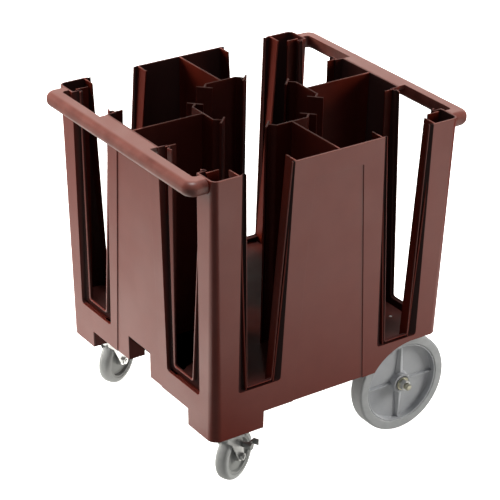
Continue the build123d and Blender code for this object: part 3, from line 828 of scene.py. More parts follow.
@dataclass
class WallBuilder:
    """Draws the seamless outer wall of the body, face by face."""

    foot_z: float = 159.0
    top_z: float = 822.0
    skirt_z: float = 203.0
    foot_half: Span = (319.6, 321.5)
    top_half: Span = (332.0, 337.0)
    foot_round: float = 24.0
    top_round: float = 16.0
    thick: float = 5.0
    field_deep: float = 2.2
    field_top: float = 768.0
    field_half: Span = (67.0, 101.0)
    notch_half: float = 48.0
    notch_top: float = 269.0
    foot_edge: Span = (214.5, 182.5)
    well_x: float = 236.0
    arch_middle: Point = (247.7, 126.0)
    arch_round: float = 134.0
    lip_plane: float = 321.0
    channel: float = 7.0
    sheet: float = 3.0
    lip_slope: float = 0.24
    inner_set: float = 4.0
    bank_run: float = 0.8
    lip_run: float = 2.5
    lip_back: Span = (2.6, 0.6)
    heel: float = 1.0
    dish_width: float = 22.0
    # Painted shade on the wall's inner sheet and inner corners, as a share of a groove's.
    inner_shade: float = 0.8
    weld: float = 0.01
    arch_steps: int = 16
    arc_steps: int = 5
    corner_steps: int = 8

    def __post_init__(self) -> None:
        """Start an empty shape."""
        self.shape = bmesh.new()
        # Each vertex's share of painted shade, read by the finish.
        self.recess = self.shape.verts.layers.float.new("recess")
        self.arch_top = self.arch_middle[1] + self.arch_round

    def rise(self, z: float) -> float:
        """How far up the wall a height is, 0 at the foot and 1 at the top."""
        return (z - self.foot_z) / (self.top_z - self.foot_z)

    def half(self, axis: int, z: float) -> float:
        """Half the body's width (0) or length (1) at height z."""
        return self.foot_half[axis] + (self.top_half[axis] - self.foot_half[axis]) * self.rise(z)

    def round_at(self, z: float) -> float:
        """Radius of the body's upright corners at height z."""
        return self.foot_round + (self.top_round - self.foot_round) * self.rise(z)

    def build(self) -> bmesh.types.BMesh:
        """Draw all four faces and the corners.

        Returns:
            The closed wall.
        """
        for turn, face in enumerate(Face):
            self.turn = turn
            self.wall = Wall.END if face in (Face.FRONT, Face.REAR) else Wall.FLANK
            self.draw_face(face)
        for x_sign in (-1, 1):
            for y_sign in (-1, 1):
                self.draw_corner(x_sign, y_sign)
        bmesh.ops.remove_doubles(self.shape, verts=self.shape.verts, dist=self.weld * MM)
        bmesh.ops.recalc_face_normals(self.shape, faces=self.shape.faces)
        return self.shape

    def vertex(self, x: float, y: float, z: float, recess: float) -> bmesh.types.BMVert:
        """Vertex at a place given in millimetres.

        Args:
            x: Across the cart.
            y: Along the cart.
            z: Height.
            recess: How much painted shade it gets, from 0 to 1.

        Returns:
            The vertex.
        """
        vert = self.shape.verts.new((x * MM, y * MM, z * MM))
        vert[self.recess] = recess
        return vert

    def point(self, u: float, z: float, deep: float, recess: float = 0.0) -> bmesh.types.BMVert:
        """Vertex on the current face.

        Args:
            u: Distance along the face from its middle.
            z: Height.
            deep: Depth behind the face.
            recess: How much painted shade it gets, from 0 to 1.

        Returns:
            The vertex.
        """
        axis = 1 if self.wall is Wall.END else 0
        x, y = u, -self.half(axis, z) + deep
        for _ in range(self.turn):
            x, y = -y, x
        return self.vertex(x, y, z, recess)

    def tangent(self, z: float) -> float:
        """Where the current face meets its rounded corner, along the face."""
        axis = 0 if self.wall is Wall.END else 1
        return self.half(axis, z) - self.round_at(z)

    def foot_line(self, low: float, edge: float) -> Profile:
        """Lower outline from a face's corner, along a height, to the skirt's edge at a distance."""
        return [(self.tangent(low), low), (edge, low), (edge, self.skirt_z)]

    def lower_edge(self, face: Face) -> tuple[Profile, Profile, Profile]:
        """Lower outline of a face, from its right corner to its left corner.

        Args:
            face: The face.

        Returns:
            The outline right of the field, across the field, and left of the field.
        """
        rear_end = self.foot_line(self.arch_top, self.well_x)
        front_end = self.foot_line(self.foot_z, self.foot_edge[0])
        flank_foot = self.foot_line(self.foot_z, self.foot_edge[1])
        start = math.asin((self.skirt_z - self.arch_middle[1]) / self.arch_round)
        arch = [(self.tangent(self.arch_top), self.arch_top)]
        for step in range(self.arch_steps + 1):
            angle = math.pi / 2 - (math.pi / 2 - start) * step / self.arch_steps
            arch.append((
                self.arch_middle[0] - self.arch_round * math.cos(angle),
                self.arch_middle[1] + self.arch_round * math.sin(angle),
            ))
        right, left = {
            Face.FRONT: (front_end, front_end),
            Face.REAR: (rear_end, rear_end),
            Face.RIGHT: (arch, flank_foot),
            Face.LEFT: (flank_foot, arch),
        }[face]
        middle = []
        if face is Face.FRONT:
            half, top = self.notch_half, self.notch_top
            middle = [(half, self.skirt_z), (half, top), (-half, top), (-half, self.skirt_z)]
        return right, middle, [(-u, z) for u, z in reversed(left)]

    def border(self, slot: SlotShape, rim: bool, shift: float = 0.0) -> Profile:
        """U-shaped line down the panel side of a slot, along its sill and up its post side.

        Args:
            slot: The slot.
            rim: Whether it is the opening's line, not the face's edge.
            shift: How far the line is moved away from the slot.

        Returns:
            Its points.
        """
        panel = slot.panel_rim if rim else slot.panel_edge
        post = slot.post_rim if rim else slot.post_edge
        sill = (slot.sill_rim if rim else slot.sill_edge) - shift
        radius = (slot.rim_round if rim else slot.edge_round) + shift
        points = [(panel.at(self.top_z) - shift, self.top_z)]
        low_panel = (panel.at(sill) - shift, sill)
        low_post = (post.at(sill) + shift, sill)
        top_post = (post.at(self.top_z) + shift, self.top_z)
        points += rounded(low_panel, points[0], low_post, radius, self.arc_steps)
        points += rounded(low_post, low_panel, top_post, radius, self.arc_steps)
        return points + [top_post]

    def draw_face(self, face: Face) -> None:
        """Draw one face with its field, slots and edges.

        Args:
            face: The face.
        """
        slot = SLOTS[self.wall]
        right, across, left = self.lower_edge(face)
        low = (self.field_half[1], self.skirt_z)
        high = (self.field_half[0], self.field_top)
        field = [low, high, (-high[0], high[1]), (-low[0], low[1])]
        sheets = []
        for deep, shift in ((0.0, 0.0), (self.thick, self.inner_set if self.wall is Wall.END else 0.0)):
            edge = self.border(slot, False, shift)
            outline = [(-self.tangent(self.top_z), self.top_z)]
            left_slot = [(-u, z) for u, z in reversed(edge)]
            outline += left_slot + edge + [(self.tangent(self.top_z), self.top_z)]
            middle = field if deep == 0.0 else [low] + across + [(-low[0], low[1])]
            marks = [len(outline), len(outline) + len(right), len(outline) + len(right) + len(middle)]
            # The inner sheet gets painted shade.
            shade = self.inner_shade if deep > 0 else 0.0
            verts = [self.point(u, z, deep, shade) for u, z in outline + right + middle + left]
            self.shape.faces.new(verts)
            sheets.append((verts, marks, len(edge)))
        (outer, marks, slot_count), (inner, inner_marks, _) = sheets
        for start in (0, slot_count, 2 * slot_count):
            self.strip(outer[start:start + 2], inner[start:start + 2])
        self.strip(outer[marks[0]:marks[1] + 1], inner[inner_marks[0]:inner_marks[1] + 1])
        self.strip(outer[marks[2] - 1:], inner[inner_marks[2] - 1:])
        self.draw_field(field, across, outer[marks[1]:marks[2]], inner[inner_marks[1]:inner_marks[2]])
        for mirror in (-1, 1):
            self.draw_border(slot, mirror)

    def strip(self, first: list, second: list) -> None:
        """Quads between two matching rows of vertices."""
        skin(self.shape, first, second)

    def draw_field(self, field: Profile, across: Profile, step: list, inner: list) -> None:
        """Draw the shallow field and its step.

        Args:
            field: Its outline from the lower right corner round to the lower left one.
            across: The notch between those corners, if there is one.
            step: The face's vertices along the field.
            inner: The inner sheet's vertices along its lower edge.
        """
        sunk = [self.point(u, z, self.field_deep) for u, z in field]
        lower = [self.point(u, z, self.field_deep) for u, z in across]
        self.strip(step, sunk)
        self.shape.faces.new(sunk + list(reversed(lower)))
        row = [sunk[0]] + lower + [sunk[-1]]
        self.strip(row, inner)
        self.shape.faces.new((step[0], sunk[0], inner[0]))
        self.shape.faces.new((step[-1], sunk[-1], inner[-1]))

    def draw_border(self, slot: SlotShape, mirror: int) -> None:
        """Draw the formed border between a face and a slot.

        Args:
            slot: The slot.
            mirror: 1 for the face's right half, -1 for its left.
        """
        edge = self.border(slot, False)
        rim = self.border(slot, True)
        rings: list[list] = []
        for index, (start, end) in enumerate(zip(edge, rim)):
            width = math.dist(start, end)
            along = index / (len(edge) - 1)
            z = (start[1] + end[1]) / 2
            lip = slot.panel_lip.at(z) * (1 - along) + slot.post_lip.at(z) * along
            section = self.end_section(width, lip, z) if self.wall is Wall.END else self.flank_section(width)
            ring = []
            front = len(section) // 2
            for place, (reach, deep) in enumerate(section):
                part = reach / width
                u = start[0] + (end[0] - start[0]) * part
                height = start[1] + (end[1] - start[1]) * part
                if index in (0, len(edge) - 1):
                    height = self.top_z
                # Painted shade: full in the grooves, the inner share on the rear of the section.
                shade = self.inner_shade if place >= front else float(place in GROOVES[self.wall])
                ring.append(self.point(mirror * u, height, deep, shade))
            rings.append(ring)
        for first, second in zip(rings, rings[1:]):
            self.strip(first, second)
        for ring in (rings[0], rings[-1]):
            half = len(ring) // 2
            for index in range(half - 1):
                self.shape.faces.new((ring[index], ring[index + 1], ring[-2 - index], ring[-1 - index]))

    def end_section(self, width: float, lip: float, z: float) -> Profile:
        """Section of an end slot's border: a bank, a channel and a lip in one upright plane.

        Args:
            width: From the face's edge to the opening.
            lip: The lip's width.
            z: Height.

        Returns:
            Points (distance from the face's edge, depth), out along the front and back along the rear.
        """
        rim = self.half(1, z) - self.lip_plane
        floor = rim + self.channel
        turn = width - lip
        drop = lip * self.lip_slope
        front = [
            (0, 0), (self.bank_run, floor), (turn - self.lip_run, floor), (turn, rim), (width, rim + drop),
        ]
        back = self.sheet
        rear = [
            (width, rim + drop + back),
            (turn + self.lip_back[0], rim + back),
            (turn + self.lip_back[1], floor + back),
            (self.heel - self.inner_set, floor + back),
            (-self.inner_set, self.thick),
        ]
        return front + rear

    def flank_section(self, width: float) -> Profile:
        """Section of a flank slot's border: a soft dish that ends in a lip.

        Args:
            width: From the face's edge to the opening.

        Returns:
            Points (distance from the face's edge, depth), out along the front and back along the rear.
        """
        scale = min(1.0, width / self.dish_width)
        front = [(part * width, deep * scale) for part, deep in DISH]
        rear = [(reach, max(self.thick, deep + self.sheet)) for reach, deep in reversed(front)]
        return front + rear

    def draw_corner(self, x_sign: int, y_sign: int) -> None:
        """Draw one rounded upright corner.

        Args:
            x_sign: Which side of the cart.
            y_sign: Which end of the cart.
        """
        low = self.foot_z if y_sign < 0 else self.arch_top
        rows = []
        for deep in (0.0, self.thick):
            for z in (low, self.top_z):
                row = []
                radius = self.round_at(z)
                middle = (self.half(0, z) - radius, self.half(1, z) - radius)
                for step in range(self.corner_steps + 1):
                    angle = math.pi / 2 * step / self.corner_steps
                    x = x_sign * (middle[0] + (radius - deep) * math.cos(angle))
                    y = y_sign * (middle[1] + (radius - deep) * math.sin(angle))
                    # The inner side of a corner gets painted shade.
                    row.append(self.vertex(x, y, z, self.inner_shade if deep > 0 else 0.0))
                rows.append(row)
        outer_low, outer_high, inner_low, inner_high = rows
        self.strip(outer_low, outer_high)
        self.strip(inner_low, inner_high)
        self.strip(outer_low, inner_low)
        self.strip(outer_high, inner_high)


def bar_between(low: Profile, low_z: float, high: Profile, high_z: float) -> bmesh.types.BMesh:
    """Straight-sided bar between two plan outlines.

    Args:
        low: Lower outline.
        low_z: Its height.
        high: Upper outline.
        high_z: Its height.

    Returns:
        The bar.
    """
    shape = bmesh.new()
    rows = []
    for outline, z in ((low, low_z), (high, high_z)):
        rows.append([shape.verts.new((x * MM, y * MM, z * MM)) for x, y in outline])
    skin(shape, rows[0], rows[1], closed=True)
    shape.faces.new(rows[0])
    shape.faces.new(rows[1])
    bmesh.ops.recalc_face_normals(shape, faces=shape.faces)
    return shape


def pour(source: bmesh.types.BMesh, target: bmesh.types.BMesh) -> None:
    """Add one shape to another and free it.

    Args:
        source: The shape that is added and freed.
        target: The shape that it goes into.
    """
    mesh = bpy.data.meshes.new("poured")
    source.to_mesh(mesh)
    source.free()
    target.from_mesh(mesh)
    bpy.data.meshes.remove(mesh)


# ---------------------------------------------------------------- sub-assemblies
@dataclass
class CartBody:
    """Moulded body: wall, deck, dividers, guides, notch, feet and wheel wells."""

    shop: Workshop
    wall_edge: float = 1.0
    inner_edge: float = 0.8
    deck_seat: float = 263.6
    bar_top: float = 821.8
    bar_half: float = 2.0
    rails: tuple[Point, ...] = ((114.0, 291.0), (278.0, 287.0))
    rail_y: float = 319.5
    ribs: tuple[Leaning, ...] = (Leaning(120, 158), Leaning(267, 233))
    rib_x: float = 290.5
    rib_wall: Span = (319.2, 329.4)

    def build(self) -> None:
        """Build and dress every moulded piece."""
        self.wall()
        soft = ["base_deck", "notch_lining"]
        for face in Face:
            soft += [f"divider_web_{face.value}", f"centre_guide_{face.value}"]
        for side in Side:
            soft += [f"caster_box_{side.value}", f"wheel_well_{side.value}"]
        for node in soft:
            # The deck and the inner pieces get darker copies of the body plastic: painted shade.
            finish = "deck_painted_shade" if node == "base_deck" else "inner_painted_shade"
            self.shop.copy(f"moulded_{node}", node, self.inner_edge, "body_plastic", CART, finish)

    def wall(self) -> None:
        """Draw the wall as one seamless moulding, with the bars and ribs behind it."""
        nodes = [f"skirt_{face.value}" for face in Face] + [f"side_panel_{face.value}" for face in Face]
        for end in (Face.FRONT, Face.REAR):
            nodes += [f"corner_post_{end.value}_{side.value}" for side in Side]
        made = self.shop.from_bmesh("body_wall", WallBuilder().build())
        self.shop.soften(made, self.wall_edge)
        self.shop.dress(made, "body_plastic", CART, tuple(nodes))
        bars = bmesh.new()
        for x_sign in (-1, 1):
            for y_sign in (-1, 1):
                for low, high in self.bars():
                    ends = [[(x * x_sign, y * y_sign) for x, y in outline] for outline in (low, high)]
                    pour(bar_between(ends[0], self.deck_seat, ends[1], self.bar_top), bars)
        made = self.shop.from_bmesh("wall_stiffeners", bars)
        self.shop.soften(made, self.inner_edge)
        # The stiffeners inside the wall get the darker inner copy: painted shade.
        self.shop.dress(made, "body_plastic", CART, (), "inner_painted_shade")

    def bars(self) -> list[tuple[Profile, Profile]]:
        """Upright bars and leaning ribs of one quarter, as lower and upper plan outlines.

        Returns:
            The outlines.
        """
        found = []
        half = self.bar_half
        for x, reach in self.rails:
            outline = [(x - half, self.rail_y), (x + half, self.rail_y), (x + half, reach), (x - half, reach)]
            found.append((outline, outline))
        for line in self.ribs:
            ends = []
            for z, wall_x in zip((self.deck_seat, self.bar_top), self.rib_wall):
                low, high = line.at(z) - half, line.at(z) + half
                ends.append([(self.rib_x, low), (wall_x, low), (wall_x, high), (self.rib_x, high)])
            found.append((ends[0], ends[1]))
        return found


@dataclass
class PushBars:
    """Rounded bars along both ends."""

    shop: Workshop
    edge: float = 0.8

    def build(self) -> None:
        """Build and dress both bars."""
        for end in (Face.FRONT.value, Face.REAR.value):
            name, node = f"push_bar_{end}", f"handle_bar_{end}"
            self.shop.copy(name, node, self.edge, "body_plastic", CART, "paler_bar_plastic")


@dataclass
class RearWheel:
    """Large rear wheel: solid tyre, dished centre with four ribs a side, and its bush."""

    shop: Workshop
    side: Side
    spokes: SpokeTree
    tyre_inner: float = 103.0
    shoulder: float = 6.0
    rim_inner: float = 100.0
    rim_set: float = 1.5
    web_half: float = 4.0
    hub: float = 25.0
    hub_proud: float = 0.7
    bore_set: float = 1.6
    moat: float = 4.2
    bore: float = 12.0
    lip: tuple[Triple, ...] = ((2.4, 0.0, 0.0), (0.9, 1.0, 0.5), (0.0, 2.6, 0.8))
    collar: Span = (2.2, 3.0)
    ring: Span = (6.4, 5.6)
    web_draft: Span = (1.5, 1.0)
    web_fillet: float = 3.0
    tyre_gap: float = 0.1
    moat_round: float = 0.5
    ring_round: float = 0.6
    hub_round: float = 1.2
    rim_round: float = 0.8
    ridge: float = 11.5
    flank: float = 6.5
    ribs: tuple[Triple, ...] = ((24.0, 7.0, math.pi / 2), (9.0, 6.0, 0.0))
    rib_lap: Span = (2.0, 0.6)
    crest: float = 1.2
    crest_share: float = 0.4

    def build(self) -> None:
        """Build and dress the tyre, centre and bush."""
        name = self.side.value
        low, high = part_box(f"rear_wheel_tyre_{name}")
        self.half = (high.x - low.x) / 2 / MM
        self.radius = (high.z - low.z) / 2 / MM
        self.place = Matrix.Translation((low + high) / 2)
        body = f"rear_wheel_{name}"
        tyre = turned(self.tyre_profile(), self.place)
        self.shop.make(f"wheel_tyre_{name}", tyre, TYRE_ANGLE, "tyre_grey", body, f"rear_wheel_tyre_{name}")
        self.shop.dress(self.centre(), "wheel_grey", body, (f"rear_wheel_centre_{name}",))
        self.shop.keep(f"rear_wheel_bush_{name}", "bush_nylon")

    def tyre_profile(self) -> Profile:
        """Section of the tyre.

        Returns:
            The profile, with a groove beside the rim.
        """
        side = []
        for inset, above, rounding in self.lip:
            side.append((inset - self.half, self.tyre_inner + above, rounding))
        return symmetric(side + [(-self.half, self.radius, self.shoulder)])

    def centre(self) -> bpy.types.Object:
        """Rim, web, hub and ribs of the wheel.

        Returns:
            The piece.
        """
        rim = self.half - self.rim_set
        hub = self.half + self.hub_proud
        seat = hub - self.bore_set
        section = [
            (seat, self.bore, 0),
            (seat, self.bore + self.collar[0], self.moat_round),
            (hub - self.moat, self.bore + self.collar[1], self.moat_round),
            (hub - self.moat, self.hub - self.ring[0], self.moat_round),
            (hub, self.hub - self.ring[1], self.ring_round),
            (hub, self.hub, self.hub_round),
            (self.web_half, self.hub + self.web_draft[0], self.web_fillet),
            (self.web_half, self.rim_inner - self.web_draft[1], self.web_fillet),
            (rim, self.rim_inner, self.rim_round),
            (rim, self.tyre_inner - self.tyre_gap, self.ring_round),
        ]
        made = self.shop.from_bmesh(f"wheel_centre_{self.side.value}", turned(symmetric(section), Matrix()))
        for at_hub, at_rim, turn in self.ribs:
            rib = self.shop.from_bmesh("rib", self.rib(at_hub, at_rim))
            self.spokes.use(rib, {"Count": 2, "Turn": turn, "Finish": self.shop.materials["wheel_grey"]})
            self.shop.settle(rib)
            join = bmesh.new()
            join.from_mesh(made.data)
            join.from_mesh(rib.data)
            join.to_mesh(made.data)
            join.free()
            bpy.data.objects.remove(rib)
        made.data.transform(self.place)
        self.shop.shade(made, MOULDED_ANGLE)
        return made

    def rib(self, at_hub: float, at_rim: float) -> bmesh.types.BMesh:
        """One rib through the web, roofed on both faces, along Y.

        Args:
            at_hub: Its width at the hub.
            at_rim: Its width at the rim.

        Returns:
            The rib.
        """
        shape = bmesh.new()
        ends = []
        radii = (self.hub - self.rib_lap[0], self.rim_inner + self.rib_lap[1])
        for radius, width in zip(radii, (at_hub, at_rim)):
            half = width / 2
            crest = min(self.crest, half * self.crest_share)
            section = [
                (0, -half), (self.flank, -half), (self.ridge, -crest), (self.ridge, crest),
                (self.flank, half), (0, half), (-self.flank, half), (-self.ridge, crest),
                (-self.ridge, -crest), (-self.flank, -half),
            ]
            ends.append([shape.verts.new((x * MM, radius * MM, z * MM)) for x, z in section])
        skin(shape, ends[0], ends[1], closed=True)
        shape.faces.new(ends[0])
        shape.faces.new(list(reversed(ends[1])))
        bmesh.ops.recalc_face_normals(shape, faces=shape.faces)
        return shape


HEX_STEPS = 48
# The washer face under a hexagon, as a share of its height.
FLANGE_SHARE = 0.12
# Rings of a hexagon's chamfer: drop from the top and cut from the corner, as shares of the chamfer.
CHAMFER = ((0.7, 0.0), (0.25, 0.55), (0.0, 1.1))
BORE_CHAMFER = 0.8
# The chamfer at a bolt's tip as a share of its radius, and how far its shank reaches into its head.
TIP_SHARE = 0.2
SHANK_LAP = 0.1


def hex_head(
    across: float, height: float, place: Matrix, bore: float = 0.0, flange: float = 0.0,
) -> bmesh.types.BMesh:
    """Chamfered hexagon along X, from 0 to its height.

    Args:
        across: Distance across the flats.
        height: Its height.
        place: Where it goes, in metres.
        bore: Radius of a hole through it, or 0.
        flange: Radius of a washer face under it, or 0.

    Returns:
        The shape.
    """
    corner = across / math.sqrt(3)
    chamfer = corner - across / 2
    shape = bmesh.new()
    rings = []

    def ring(along: float, limit: float, hexagon: bool = False) -> None:
        """Add one ring: a circle, or the hexagon cut to it.

        Args:
            along: Where it lies along X.
            limit: The circle's radius.
            hexagon: Whether it is the hexagon.
        """
        found = []
        for step in range(HEX_STEPS):
            turn = 2 * math.pi * step / HEX_STEPS
            off = (turn + math.pi / 6) % (math.pi / 3) - math.pi / 6
            reach = min(limit, across / 2 / math.cos(off)) if hexagon else limit
            found.append(shape.verts.new(on_circle(along, reach, turn)))
        rings.append(found)

    base = height * FLANGE_SHARE if flange else 0.0
    if bore:
        ring(0, bore)
    if flange:
        ring(0, flange)
        ring(base, flange)
    ring(base, corner, True)
    for drop, cut in CHAMFER:
        ring(height - chamfer * drop, corner - chamfer * cut, True)
    if bore:
        ring(height, bore + BORE_CHAMFER)
        ring(height - BORE_CHAMFER, bore)
    for first, second in zip(rings, rings[1:] + (rings[:1] if bore else [])):
        skin(shape, first, second, closed=True)
    if not bore:
        shape.faces.new(rings[0])
        shape.faces.new(rings[-1])
    bmesh.ops.recalc_face_normals(shape, faces=shape.faces)
    shape.transform(place)
    return shape


def short_bolt(across: float, height: float, radius: float, reach: float) -> bmesh.types.BMesh:
    """Hexagon bolt that points up, with its head's seat at height 0.

    Args:
        across: Distance across the head's flats.
        height: The head's height.
        radius: The shank's radius.
        reach: The shank's length.

    Returns:
        The bolt.
    """
    down = Matrix.Rotation(math.pi / 2, 4, "Y")
    shape = hex_head(across, height, down, 0.0, across / 2)
    chamfer = radius * TIP_SHARE
    shank = [(-reach, 0), (-reach, radius - chamfer), (chamfer - reach, radius)]
    shank += [(SHANK_LAP, radius), (SHANK_LAP, 0)]
    pour(turned(shank, down, SHANK_STEPS), shape)
    return shape


@dataclass
class BoltGroup:
    """Equal bolts that point up, on one grid of holes at each side of the cart."""

    shop: Workshop
    tree: BoltTree
    name: str
    node: str
    side_x: float
    middle_y: float
    seat: float
    pitch: Point
    count: tuple[int, int]
    seed: int
    across: float = 13.0
    head: float = 5.3
    radius: float = 4.0

    def build(self) -> None:
        """Build and dress the bolts."""
        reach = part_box(self.node)[1].z / MM - self.seat
        made = self.shop.from_bmesh(self.name, short_bolt(self.across, self.head, self.radius, reach))
        self.tree.use(made, {
            "Side": self.side_x * MM,
            "Middle Y": self.middle_y * MM,
            "Seat Z": self.seat * MM,
            "Pitch X": self.pitch[0] * MM,
            "Pitch Y": self.pitch[1] * MM,
            "Count X": self.count[0],
            "Count Y": self.count[1],
            "Seed": self.seed,
            "Finish": self.shop.materials["zinc_steel"],
        })
        self.shop.settle(made)
        self.shop.shade(made, METAL_ANGLE)
        self.shop.dress(made, "zinc_steel", CART, (self.node,))


@dataclass
class AxleSet:
    """Rear axle, its brackets, spacers, washers and nuts."""

    shop: Workshop
    bolts: BoltTree
    radius: float = 8.0
    end: tuple[Point, ...] = ((1.2, 2.2), (3.2, 0.0))
    nut_across: float = 24.0
    washer_round: float = 0.5
    bracket_edge: float = 0.8
    bracket_bolt_x: float = 204.0
    bracket_bolt_pitch: float = 50.0
    bracket_under: float = 255.0

    def build(self) -> None:
        """Build and dress the axle's pieces."""
        low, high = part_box("rear_axle")
        middle = (low + high) / 2
        reach = (high.x - low.x) / 2 / MM
        profile = [(-reach, 0)] + [(inset - reach, self.radius - cut) for inset, cut in self.end]
        profile += [(-along, radius) for along, radius in reversed(profile)]
        axle = turned(profile, Matrix.Translation(middle), AXLE_STEPS)
        self.shop.make("wheel_axle", axle, METAL_ANGLE, "yellow_zinc", CART, "rear_axle")
        self.nuts(middle)
        self.shop.keep("axle_spacers", "zinc_steel")
        for side in Side:
            name, node = f"axle_hanger_{side.value}", f"axle_bracket_{side.value}"
            self.shop.copy(name, node, self.bracket_edge, "zinc_steel", CART)
        BoltGroup(
            self.shop, self.bolts, "bracket_bolts", "axle_bracket_bolts", self.bracket_bolt_x, middle.y / MM,
            self.bracket_under, (0.0, self.bracket_bolt_pitch), (1, 2), seed=3,
        ).build()

    def nuts(self, middle: Vector) -> None:
        """Build both axle nuts and washers.

        Args:
            middle: The axle's middle.
        """
        nut_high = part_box("axle_nuts")[1]
        low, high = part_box("axle_washers")
        inner = self.inner_x("axle_washers")
        height = (nut_high.x - high.x) / MM
        outer = (high.z - low.z) / 2 / MM
        thick = (high.x - inner) / MM
        edge = self.washer_round
        profile = soft_profile([
            (0, self.radius, 0), (0, outer, edge), (thick, outer, edge), (thick, self.radius, 0),
        ])
        nuts = bmesh.new()
        washers = bmesh.new()
        for turn in (0.0, math.pi):
            place = Matrix.Translation((0, middle.y, middle.z)) @ Matrix.Rotation(turn, 4, "Z")
            nut_place = place @ Matrix.Translation((high.x, 0, 0))
            washer_place = place @ Matrix.Translation((inner, 0, 0))
            pour(hex_head(self.nut_across, height, nut_place, self.radius), nuts)
            pour(turned(profile, washer_place, RING_STEPS), washers)
        self.shop.make("axle_end_nuts", nuts, METAL_ANGLE, "zinc_steel", CART, "axle_nuts")
        self.shop.make("axle_end_washers", washers, METAL_ANGLE, "yellow_zinc", CART, "axle_washers")

    def inner_x(self, node: str) -> float:
        """Lowest x of a paired node's solid on the right side, in metres."""
        return min(vert.co.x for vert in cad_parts[node].data.vertices if vert.co.x > 0)


# The way each caster stands turned, in degrees.
CASTER_YAW = {Side.LEFT: 25.0, Side.RIGHT: 24.7}


